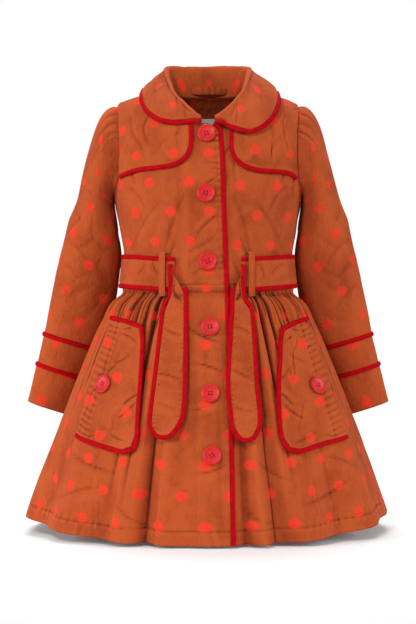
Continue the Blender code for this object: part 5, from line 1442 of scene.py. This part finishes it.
for side, name in ((-1, "right"), (1, "left")):
    outline = course(np.array(POCKETS[side]) * MM)
    shares = np.concatenate([
        np.linspace(0, POCKET_TOP_SHARE, 6)[:-1],
        np.linspace(POCKET_TOP_SHARE, POCKET_SIDE_SHARE, 10)[:-1],
        np.linspace(POCKET_SIDE_SHARE, 1, 6),
    ])  # fmt: skip
    edge = outline(shares)
    cloth_edge = inset(edge, side * BINDING_WIDTH * 0.92)
    top, inner, lower = cloth_edge[:6], cloth_edge[5:15][::-1], cloth_edge[14:][::-1]
    coarse = coons(lower, top, np.linspace(lower[0], top[0], 10), inner)
    at = rows_of(10, 8), rows_of(6, 9)
    flat = finer_grid(coarse, at)
    under, normals = on_skirt(flat, POCKET_LIFT)
    from_entry = np.linalg.norm(flat - flat[:, :1], axis=-1)
    run = run_along(flat[:, 0])[:, None]
    slant = 2.5 * np.sin(run / (23 * MM)) + from_entry / (9 * MM)
    pucker = np.sin(run * 2 * math.pi / POCKET_PUCKER_PITCH + slant)
    strip = ramp(from_entry, 0, 2 * MM) * (1 - ramp(from_entry, ENTRY_HEM, ENTRY_HEM + 9 * MM))
    swell = POCKET_PUCKER * pucker * strip - ENTRY_DIP * bump(from_entry, ENTRY_HEM, 1.5 * MM)
    swell = swell + ENTRY_GAPE * (1 - ramp(from_entry, 0, 26 * MM)) * np.sin(np.pi * run / run[-1])
    swell = swell + folds(under, POCKET_FOLDS) + 0.5 * MM * drift(under, 0.06, 81 + side)
    swell = swell + rumple(under, 0.05, 1.6 * MM, 84 + side)
    under = under + normals * swell[..., None]
    turn = math.radians(POCKET_CUT_TURN * side)
    cut = flat @ np.array([[math.cos(turn), math.sin(turn)], [-math.sin(turn), math.cos(turn)]])
    cut, normals = cut + POCKET_CUT_SHIFT, normals_like(under, normals)
    pocket = cloth_piece(f"pocket_{name}", under, normals, cut, COTTON, at=at)
    path, over = on_skirt(strip_path(inset(edge, side * BINDING_WIDTH / 2)), POCKET_LIFT)
    binding_piece(f"pocket_binding_{name}", path, over)

# ---- Front edge binding --------------------------------------------------------------------------
# One red strip binds the lapping front's edge from the collar to the hem.

rows = np.linspace(-58, -272, 80) * MM
upper, upper_over = lay(torso, *torso_place(front_edge_x(rows), rows), OVERLAP_LIFT)
drops = np.linspace(0.006, 1, 120)
below = front_edge_angle(drops, front_edge_x)
lower, lower_over = lay(full_skirt, below, drops, OVERLAP_LIFT, outward=-1)
path, over = np.vstack([upper, lower]), np.vstack([upper_over, lower_over])
binding_piece("front_edge_binding", path, over)

# ---- Buttons -------------------------------------------------------------------------------------
# Coral-red moulded buttons with a raised rim and four holes, sewn on through both pairs with red
# thread: a row down the front edge and one on each pocket's entry.

BUTTON_WIDTH, BUTTON_STAND_OFF = 24.5 * MM, 0.8 * MM
FRONT_BUTTONS = ((-2, -73), (-3, -152), (-0.5, -243), (2.6, -332), (3, -418), (5, -497))  # x, z
POCKET_BUTTONS = {-1: (-136, -409), 1: (143, -410)}
BUTTON_TURNS = (8, -14, 22, 5, -9, 31, 12, -20)
BUTTON_PROFILE = (  # radius and height as shares of the button's width, from underneath to the middle
    (0.0, 0.02), (0.36, 0.0), (0.44, 0.015), (0.487, 0.05), (0.5, 0.085), (0.493, 0.125), (0.468, 0.152),
    (0.438, 0.157), (0.412, 0.147), (0.392, 0.126), (0.375, 0.112), (0.33, 0.104), (0.2, 0.095), (0.0, 0.092),
)  # fmt: skip
BUTTON_SIDES, HOLE_SPACING, HOLE_RADIUS, HOLE_SIDES = 72, 3.8 * MM, 1.05 * MM, 20
STRAND_SIDES, STRAND_RINGS, STRAND_RADIUS, STRAND_SHIFT = 7, 15, 0.2 * MM, 0.26 * MM
CORAL, CORAL_CLOUD = (0.60, 0.015, 0.016), (0.50, 0.010, 0.011)
THREAD_RED, THREAD_DEEP = (0.16, 0.004, 0.006), (0.10, 0.003, 0.005)


def button_plastic():
    """Coral-red plastic, faintly cloudy, with a soft gloss."""
    material, cut, shader = new_finish("coral_red_plastic", 0.4, specular=0.28)
    cloud = cut.stretched(90, 90).noise(1.0, 2.0, 0.5)
    colour = cloud.smooth(0.3, 0.7).mixed(CORAL, CORAL_CLOUD)
    cut.tree.links.new(colour.socket, shader.inputs["Base Color"])
    return material


def red_thread():
    material, cut, shader = new_finish("red_thread", 0.7, sheen=0.1)
    colour = cut.stretched(900, 900).noise(1.0, 1.0, 0.5).mixed(THREAD_RED, THREAD_DEEP)
    cut.tree.links.new(colour.socket, shader.inputs["Base Color"])
    return material


PLASTIC, SEWING_RED = button_plastic(), red_thread()


def button_blank():
    """The turned profile of a button, with its four holes cut through."""
    made = bmesh.new()
    rings = []
    for radius, height in BUTTON_PROFILE:
        turns = np.linspace(0, 2 * math.pi, BUTTON_SIDES if radius else 1, endpoint=False)
        spots = [Vector((radius * math.cos(turn), radius * math.sin(turn), height)) for turn in turns]
        rings.append([made.verts.new(spot * BUTTON_WIDTH) for spot in spots])
    for low, high in zip(rings, rings[1:]):
        for k in range(BUTTON_SIDES):
            corners = [low[k % len(low)], low[(k + 1) % len(low)]]
            corners += [high[(k + 1) % len(high)], high[k % len(high)]]
            made.faces.new(list(dict.fromkeys(corners)))
    bmesh.ops.recalc_face_normals(made, faces=made.faces)
    blank, drill = bpy.data.meshes.new("button_blank"), bpy.data.meshes.new("button_drill")
    made.to_mesh(blank)
    made.clear()
    for x, y in ((-1, -1), (-1, 1), (1, -1), (1, 1)):
        place = Vector((x, y, 0)) * HOLE_SPACING / 2
        size = {"segments": HOLE_SIDES, "radius1": HOLE_RADIUS, "radius2": HOLE_RADIUS, "depth": BUTTON_WIDTH}
        hole = bmesh.ops.create_cone(made, cap_ends=True, **size)
        bmesh.ops.translate(made, verts=hole["verts"], vec=place)
    made.to_mesh(drill)
    made.free()
    blank.materials.append(PLASTIC)
    body, cutter = bpy.data.objects.new("blank", blank), bpy.data.objects.new("drill", drill)
    for part in (body, cutter):
        bpy.context.scene.collection.objects.link(part)
    cut = body.modifiers.new("holes", "BOOLEAN")
    cut.operation, cut.object, cut.solver = "DIFFERENCE", cutter, "EXACT"
    drilled = bpy.data.meshes.new_from_object(body.evaluated_get(bpy.context.evaluated_depsgraph_get()))
    for part in (body, cutter):
        bpy.data.objects.remove(part)
    return drilled


def thread_bar(made, x, shift):
    """One strand over a pair of holes, bowed up and back down through them."""
    rings = []
    for t in np.linspace(-1, 1, STRAND_RINGS):
        height = 0.088 * BUTTON_WIDTH + (max(0.0, 1 - abs(t) ** 3) * 0.9 - 0.75) * MM
        middle = Vector((x + shift, t * (HOLE_SPACING / 2 + 0.1 * MM), height))
        turns = [2 * math.pi * k / STRAND_SIDES for k in range(STRAND_SIDES)]
        away = [Vector((math.cos(turn), 0, math.sin(turn))) * STRAND_RADIUS for turn in turns]
        rings.append([made.verts.new(middle + spot) for spot in away])
    for low, high in zip(rings, rings[1:]):
        for k in range(STRAND_SIDES):
            ahead = (k + 1) % STRAND_SIDES
            made.faces.new([low[k], low[ahead], high[ahead], high[k]]).material_index = 1
    for ring in (rings[0][::-1], rings[-1]):
        made.faces.new(ring).material_index = 1


button_made = bmesh.new()
button_made.from_mesh(button_blank())
for x in (-HOLE_SPACING / 2, HOLE_SPACING / 2):
    for shift in (-STRAND_SHIFT, STRAND_SHIFT):
        thread_bar(button_made, x, shift)
bmesh.ops.recalc_face_normals(button_made, faces=button_made.faces)
spots = button_made.loops.layers.uv.new("cut")
for face in button_made.faces:
    for loop in face.loops:
        loop[spots].uv = loop.vert.co.xy


def add_button(name, place, over, turn):
    mesh = bpy.data.meshes.new(f"{name}_shell")
    button_made.to_mesh(mesh)
    mesh.materials.append(PLASTIC)
    mesh.materials.append(SEWING_RED)
    facing = Vector(over).to_track_quat("Z", "Y").to_matrix().to_4x4()
    mesh.transform(Matrix.Translation(place) @ facing @ Matrix.Rotation(math.radians(turn), 4, "Z"))
    dressed(f"{name}_shell", name, mesh, sharp_from=45)


for number, ((x, z), turn) in enumerate(zip(FRONT_BUTTONS, BUTTON_TURNS), 1):
    x, z = x * MM, z * MM
    under = OVERLAP_LIFT + CLOTH + BUTTON_STAND_OFF
    if z > WAIST:
        place, over = lay(torso, *torso_place(x, z), under)
    else:
        place, over = lay(skirt, *skirt_place(x, z), under, outward=-1)
    add_button(f"button_{number}", place, over, turn)
for side, name in ((-1, "right"), (1, "left")):
    place, over = on_skirt(np.array(POCKET_BUTTONS[side]) * MM, POCKET_LIFT + CLOTH + BUTTON_STAND_OFF)
    add_button(f"pocket_button_{name}", place, over, BUTTON_TURNS[side])
button_made.free()

# ---- Inside the back neck ------------------------------------------------------------------------
# A curved facing of the same cotton lines the back neck, with a hanger loop caught in the neck seam.
# Below it shows the top of a plain pale patch.

FACING_FOOT, FACING_HALF_WIDTH = -31 * MM, 46 * MM
PATCH_LEFT, PATCH_RIGHT, PATCH_FOOT = -16 * MM, 23 * MM, -62 * MM
INSIDE_THICKNESS, INSIDE_LIFT, FACING_TURN = 0.8 * MM, 3 * MM, 0.62
LOOP_HALF_LENGTH, LOOP_HEIGHT, LOOP_STAND_OFF = 25 * MM, 10.5 * MM, 6 * MM
LOOP_MIDDLE = (2 * MM, 28 * MM, 3 * MM)
FACING_GRID, PATCH_GRID, HANGER_GRID = (14, 60), (18, 26), (9, 61)


def pale_cotton():
    """Plain undyed cotton, softly creased."""
    material, cut, shader = new_finish("pale_cotton", 0.85, sheen=0.05, specular=0.3)
    cloud = cut.stretched(60, 60).noise(1.0, 2.0, 0.5)
    colour = cloud.mixed((0.90, 0.83, 0.80), (0.74, 0.68, 0.66))
    cut.tree.links.new(colour.socket, shader.inputs["Base Color"])
    weave_bump(cut, shader, 0.8 * MM, 0.03 * MM, cloud * (1.2 * MM))
    return material


def even_rows(shape):
    return [np.arange(count, dtype=float) for count in shape]


up = np.linspace(0, 1, FACING_GRID[0])[:, None]
x = np.linspace(-FACING_HALF_WIDTH, FACING_HALF_WIDTH, FACING_GRID[1])
neck = back_neck(np.linspace(0, 1, FACING_GRID[1]))[::-1]
top = np.interp(np.abs(x), neck[:, 0], neck[:, 1]) + 0.6 * MM
rows = FACING_FOOT + up * (top - FACING_FOOT)
where = torso_place(np.broadcast_to(x, rows.shape), rows, back=True)
sewn_in = ramp(up, 0.6, 1)
under, normals = lay(torso, *where, -INSIDE_LIFT * (1 - FACING_TURN * sewn_in) + 0 * rows)
under = under + normals * (0.3 * MM * drift(under, 0.04, 91))[..., None]
cut, at = np.stack([x + 0 * rows + 0.021, rows + 0.015], -1), even_rows(FACING_GRID)
facing = cloth_piece("neck_facing", under, normals, cut, COTTON, INSIDE_THICKNESS, at=at)
x = np.linspace(PATCH_LEFT, PATCH_RIGHT, PATCH_GRID[1])
x, z = np.meshgrid(x, np.linspace(PATCH_FOOT, FACING_FOOT - 0.1 * MM, PATCH_GRID[0]))
under, normals = lay(torso, *torso_place(x, z, back=True), -INSIDE_LIFT)
under = under + normals * (0.35 * MM * drift(under, 0.03, 92))[..., None]
cut, at = np.stack([x, z], -1), even_rows(PATCH_GRID)
patch = cloth_piece("neck_patch", under, normals, cut, pale_cotton(), INSIDE_THICKNESS, at=at)

share, over = [np.linspace(-1, 1, count) for count in HANGER_GRID[::-1]]
middle_x, middle_y, middle_z = LOOP_MIDDLE
across = over / 2 * LOOP_HEIGHT
x = middle_x + LOOP_HALF_LENGTH * share
y = middle_y + LOOP_STAND_OFF * np.abs(share) ** 3 + 1.6 * MM
pinched = 1 - 0.25 * np.abs(share) ** 6
tuck = 0.35 * MM * np.cos(share * 17) * (1 - share**2)
z = middle_z + across[:, None] * pinched[None]
under = np.stack(np.broadcast_arrays(x[None], (y + tuck)[None], z), -1)
under[..., 1] += 0.5 * MM * (over**2)[:, None]
normals = np.broadcast_to((0.0, -1.0, 0.0), under.shape)
cut = np.stack(np.broadcast_arrays(x[None] + 0.0405, across[:, None] + 0.031), -1)
hanger = cloth_piece("hanger_loop", under, normals, cut, COTTON, 1.6 * MM, at=even_rows(HANGER_GRID))

# ---- Topstitching --------------------------------------------------------------------------------
# Rows of stitches hold the hem, the lap, the pockets and the red strips. One Geometry Nodes group
# turns points along a seam into stitches, each bowed over the cloth and sunk into it at both ends.

STITCH_PITCH, STITCH_LENGTH, THREAD_RADIUS = 3.1 * MM, 2.4 * MM, 0.26 * MM
HEM_STITCH_HEIGHT, STRIP_STITCH_SHARE = HEM_TURN * MM, 0.62
RUST_THREAD_COLOURS = (0.32, 0.050, 0.015), (0.22, 0.032, 0.010)
STRIP_THREAD_COLOURS = (0.34, 0.002, 0.006), (0.22, 0.002, 0.004)
POCKET_SEAMS = {  # x, z down each row of stitches beside the entry edge
    -1: (
        ((-127, -331), (-139, -383), (-152, -424), (-165, -463)),
        ((-122, -342), (-129.5, -371), (-143.5, -419), (-157.5, -468)),
    ),
    1: (((137, -344.5), (143, -376), (157, -418), (167.5, -469)),),
}
BAR_TACKS = {-1: ((-108, -333), (-154.5, -474.5)), 1: ((118, -335), (163, -475))}  # x, z
TACK_LENGTH, TACK_PITCH = 11 * MM, 0.7 * MM


def thread_finish(name, light, deep):
    """Matte cotton thread, a little uneven in its dye."""
    material = bpy.data.materials.new(name)
    material.use_nodes = True
    tree = material.node_tree
    place = Thread(tree, tree.nodes.new("ShaderNodeTexCoord").outputs["Object"])
    colour = place.stretched(500, 500, 500).noise(1.0, 1.0, 0.5).mixed(light, deep)
    tree.links.new(colour.socket, tree.nodes["Principled BSDF"].inputs["Base Color"])
    tree.nodes["Principled BSDF"].inputs["Roughness"].default_value = 0.75
    tree.nodes["Principled BSDF"].inputs["Specular IOR Level"].default_value = 0.1
    return material


def stitch_group():
    """Geometry Nodes: a bowed length of thread on each point, turned by the point's two directions."""
    tree = bpy.data.node_groups.new("stitches_on_points", "GeometryNodeTree")
    inputs = {"Points": "Geometry", "Length": "Float", "Radius": "Float", "Thread": "Material"}
    for name, kind in inputs.items():
        tree.interface.new_socket(name, in_out="INPUT", socket_type=f"NodeSocket{kind}")
    tree.interface.new_socket("Stitches", in_out="OUTPUT", socket_type="NodeSocketGeometry")

    def node(kind, **links):
        made = tree.nodes.new(kind)
        for slot, value in links.items():
            socket = made.inputs[slot.replace("_", " ")]
            if isinstance(value, bpy.types.NodeSocket):
                tree.links.new(value, socket)
            else:
                socket.default_value = value
        return made

    def times(socket, factor):
        made = node("ShaderNodeMath", Value=socket)
        made.operation, made.inputs[1].default_value = "MULTIPLY", factor
        return made.outputs[0]

    entry = node("NodeGroupInput").outputs
    before, after = times(entry["Length"], -0.5), times(entry["Length"], 0.5)
    rise, sink = times(entry["Radius"], 1.6), times(entry["Radius"], -1.0)
    start, end = [node("ShaderNodeCombineXYZ", X=x, Z=sink).outputs[0] for x in (before, after)]
    middle = node("ShaderNodeCombineXYZ", Z=rise).outputs[0]
    bow = node("GeometryNodeCurveQuadraticBezier", Resolution=3, Start=start, Middle=middle, End=end)
    ring = node("GeometryNodeCurvePrimitiveCircle", Resolution=5, Radius=entry["Radius"])
    curves = {"Curve": bow.outputs[0], "Profile_Curve": ring.outputs[0]}
    thread = node("GeometryNodeCurveToMesh", Fill_Caps=True, **curves)
    over, along = [node("GeometryNodeInputNamedAttribute", Name=name) for name in ("over", "along")]
    over.data_type = along.data_type = "FLOAT_VECTOR"
    turn = tree.nodes.new("FunctionNodeAxesToRotation")
    turn.primary_axis, turn.secondary_axis = "Z", "X"
    tree.links.new(over.outputs[0], turn.inputs[0])
    tree.links.new(along.outputs[0], turn.inputs[1])
    stitch = {"Instance": thread.outputs[0], "Rotation": turn.outputs[0]}
    placed = node("GeometryNodeInstanceOnPoints", Points=entry["Points"], **stitch)
    real = node("GeometryNodeRealizeInstances", Geometry=placed.outputs[0])
    dyed = node("GeometryNodeSetMaterial", Geometry=real.outputs[0], Material=entry["Thread"])
    node("NodeGroupOutput", Stitches=dyed.outputs[0])
    return tree


RUST_THREAD = thread_finish("rust_thread", *RUST_THREAD_COLOURS)
STRIP_THREAD = thread_finish("strip_thread", *STRIP_THREAD_COLOURS)
STITCHES = stitch_group()


def sewn(name, runs, thread, pitch=STITCH_PITCH, length=STITCH_LENGTH, crossing=False):
    """One piece with stitches at even steps along runs of points and normals, or across them."""
    spots = []
    for path, over in runs:
        run = run_along(path)
        at = np.arange(pitch / 2, run[-1], pitch)
        near = np.stack([np.interp(at, run, column) for column in np.hstack([path, over]).T], 1)
        along = np.gradient(near[:, :3], axis=0)
        if crossing:
            along = np.cross(along, near[:, 3:])
        spots.append(np.hstack([near, unit(along)]))
    spots = np.vstack(spots)
    mesh = bpy.data.meshes.new(name)
    mesh.from_pydata(spots[:, :3].tolist(), [], [])
    for key, columns in (("over", spots[:, 3:6]), ("along", spots[:, 6:])):
        ways = mesh.attributes.new(key, "FLOAT_VECTOR", "POINT")
        ways.data.foreach_set("vector", columns.astype(np.float32).ravel())
    row = bpy.data.objects.new(name, mesh)
    bpy.context.scene.collection.objects.link(row)
    sewing = row.modifiers.new("sewing", "NODES")
    sewing.node_group = STITCHES
    values = {"Length": length, "Radius": THREAD_RADIUS, "Thread": thread}
    for socket in STITCHES.interface.items_tree:
        if socket.name in values:
            sewing[socket.identifier] = values[socket.name]
    made = bpy.data.meshes.new_from_object(row.evaluated_get(bpy.context.evaluated_depsgraph_get()))
    row.modifiers.clear()
    row.data = made
    made.shade_smooth()
    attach(row, "root")
    return row


def seam_on(piece, points, aims):
    """Where rays from the points first meet a piece of cloth, and its normals there."""
    mesh = piece.data
    tree = BVHTree.FromPolygons([v.co for v in mesh.vertices], [face.vertices for face in mesh.polygons])
    hits = [tree.ray_cast(Vector(point), Vector(aim)) for point, aim in zip(points, aims)]
    hits = [(spot, over) for spot, over, _, _ in hits if spot]
    return np.array([spot for spot, _ in hits]), np.array([over for _, over in hits])


def front_seam(piece, x, z):
    """A seam on what faces the camera, from front-view points."""
    points = np.stack(np.broadcast_arrays(x, -0.6, z), -1)
    return seam_on(piece, points, np.broadcast_to((0.0, 1.0, 0.0), points.shape))


PIECES = {piece.name: piece for piece in bpy.context.scene.objects}
hem_runs = []
for name, angles in (("front_right", (-89, 7)), ("front_left", (9, 89)), ("back", (91, 269))):
    turn = np.linspace(*angles, 260)
    away = np.stack([np.sin(np.radians(turn)), -np.cos(np.radians(turn)), 0 * turn], 1)
    points = 0.5 * away + np.stack([0 * turn, 0 * turn, hem_height(turn) + HEM_STITCH_HEIGHT], 1)
    hem_runs.append(seam_on(PIECES[f"skirt_{name}_cloth"], points, -away))
sewn("hem_stitches", hem_runs, RUST_THREAD)

upper_z, lower_z = np.linspace(-76, -271, 150) * MM, np.linspace(-277, -602, 240) * MM
lap_runs = [
    front_seam(PIECES["front_right_cloth"], topstitching_x(upper_z), upper_z),
    front_seam(PIECES["skirt_front_right_cloth"], topstitching_x(lower_z), lower_z),
]
sewn("lap_stitches", lap_runs, RUST_THREAD)

for side, name in ((-1, "right"), (1, "left")):
    pocket = PIECES[f"pocket_{name}_cloth"]
    rows = [course(np.array(points) * MM)(np.linspace(0, 1, 120)) for points in POCKET_SEAMS[side]]
    sewn(f"pocket_stitches_{name}", [front_seam(pocket, *row.T) for row in rows], RUST_THREAD)
    reach = np.linspace(-0.5, 0.5, 12)[:, None] * TACK_LENGTH * (0.92, -0.2 * side)
    tacks = [front_seam(pocket, *(np.array(middle) * MM + reach).T) for middle in BAR_TACKS[side]]
    sewn(f"pocket_tacks_{name}", tacks, RUST_THREAD, TACK_PITCH, crossing=True)

for node, path, over, half_across, height in SEWN_STRIPS:
    raised = path + over * height * 0.8
    runs = [(raised + half_across * STRIP_STITCH_SHARE * edge, over) for edge in (-1, 1)]
    sewn(f"{node}_stitches", runs, STRIP_THREAD)

# ---- Studio --------------------------------------------------------------------------------------
# A plain white floor under a soft light from above and behind, a high window in front and one on
# each side. The camera stands level with the coat's middle, two metres in front of it.

FLOOR_HEIGHT, FLOOR_RADIUS, FLOOR_SIDES, PAPER_WHITE, PAPER_GLOW = -613 * MM, 620 * MM, 96, 0.88, 0.05
CAMERA_DISTANCE, CAMERA_HEIGHT = 2.0, -311 * MM
turns = np.linspace(0, 2 * math.pi, FLOOR_SIDES, endpoint=False)
rim = [(FLOOR_RADIUS * math.cos(turn), FLOOR_RADIUS * math.sin(turn), FLOOR_HEIGHT) for turn in turns]
floor_mesh = bpy.data.meshes.new("studio_floor")
floor_mesh.from_pydata(rim, [], [tuple(range(FLOOR_SIDES))])
floor = bpy.data.objects.new("studio_floor", floor_mesh)
bpy.context.scene.collection.objects.link(floor)
paper = bpy.data.materials.new("white_paper")
paper.use_nodes = True
sheet = paper.node_tree.nodes["Principled BSDF"].inputs
sheet["Base Color"].default_value = (PAPER_WHITE, PAPER_WHITE, PAPER_WHITE, 1)
sheet["Roughness"].default_value = 1.0
sheet["Specular IOR Level"].default_value = 0.0
sheet["Emission Color"].default_value = (1, 1, 1, 1)
sheet["Emission Strength"].default_value = PAPER_GLOW
floor_mesh.materials.append(paper)

LAMPS = (  # name, kind, place, size in metres or degrees, power
    ("sky_light", "SUN", (-0.10, 1.20, 2.0), 30, 1.9),
    ("window_high", "AREA", (-0.9, -1.9, 1.1), 0.6, 28),
    ("window_left", "AREA", (-2.3, -1.0, 0.1), 0.8, 34),
    ("window_right", "AREA", (2.3, -1.1, 0.3), 0.9, 34),
)
for name, kind, place, size, power in LAMPS:
    light = bpy.data.lights.new(name, kind)
    light.energy = power
    if kind == "SUN":
        light.angle = math.radians(size)
    else:
        light.size = size
    lamp = bpy.data.objects.new(name, light)
    bpy.context.scene.collection.objects.link(lamp)
    lamp.location = place
    lamp.rotation_euler = (Vector((0, 0, -0.3)) - Vector(place)).to_track_quat("-Z", "Y").to_euler()

AMBIENT, BACKDROP = 0.40, 1.0
world = bpy.data.worlds.new("studio")
world.use_nodes = True
backdrop = world.node_tree.nodes["Background"]
backdrop.inputs["Color"].default_value = (1, 1, 1, 1)
ray = Thread(world.node_tree, world.node_tree.nodes.new("ShaderNodeLightPath").outputs["Is Camera Ray"])
strength = ray * (BACKDROP - AMBIENT) + AMBIENT
world.node_tree.links.new(strength.socket, backdrop.inputs["Strength"])
bpy.context.scene.world = world
bpy.context.scene.view_settings.view_transform = "Standard"

camera_data = bpy.data.cameras.new("camera")
camera_data.sensor_fit, camera_data.sensor_height, camera_data.lens = "VERTICAL", 36, 82.42
camera = bpy.data.objects.new("camera", camera_data)
bpy.context.scene.collection.objects.link(camera)
camera.location = (0, -CAMERA_DISTANCE, CAMERA_HEIGHT)
camera.rotation_euler = (math.radians(90), 0, 0)
bpy.context.scene.camera = camera
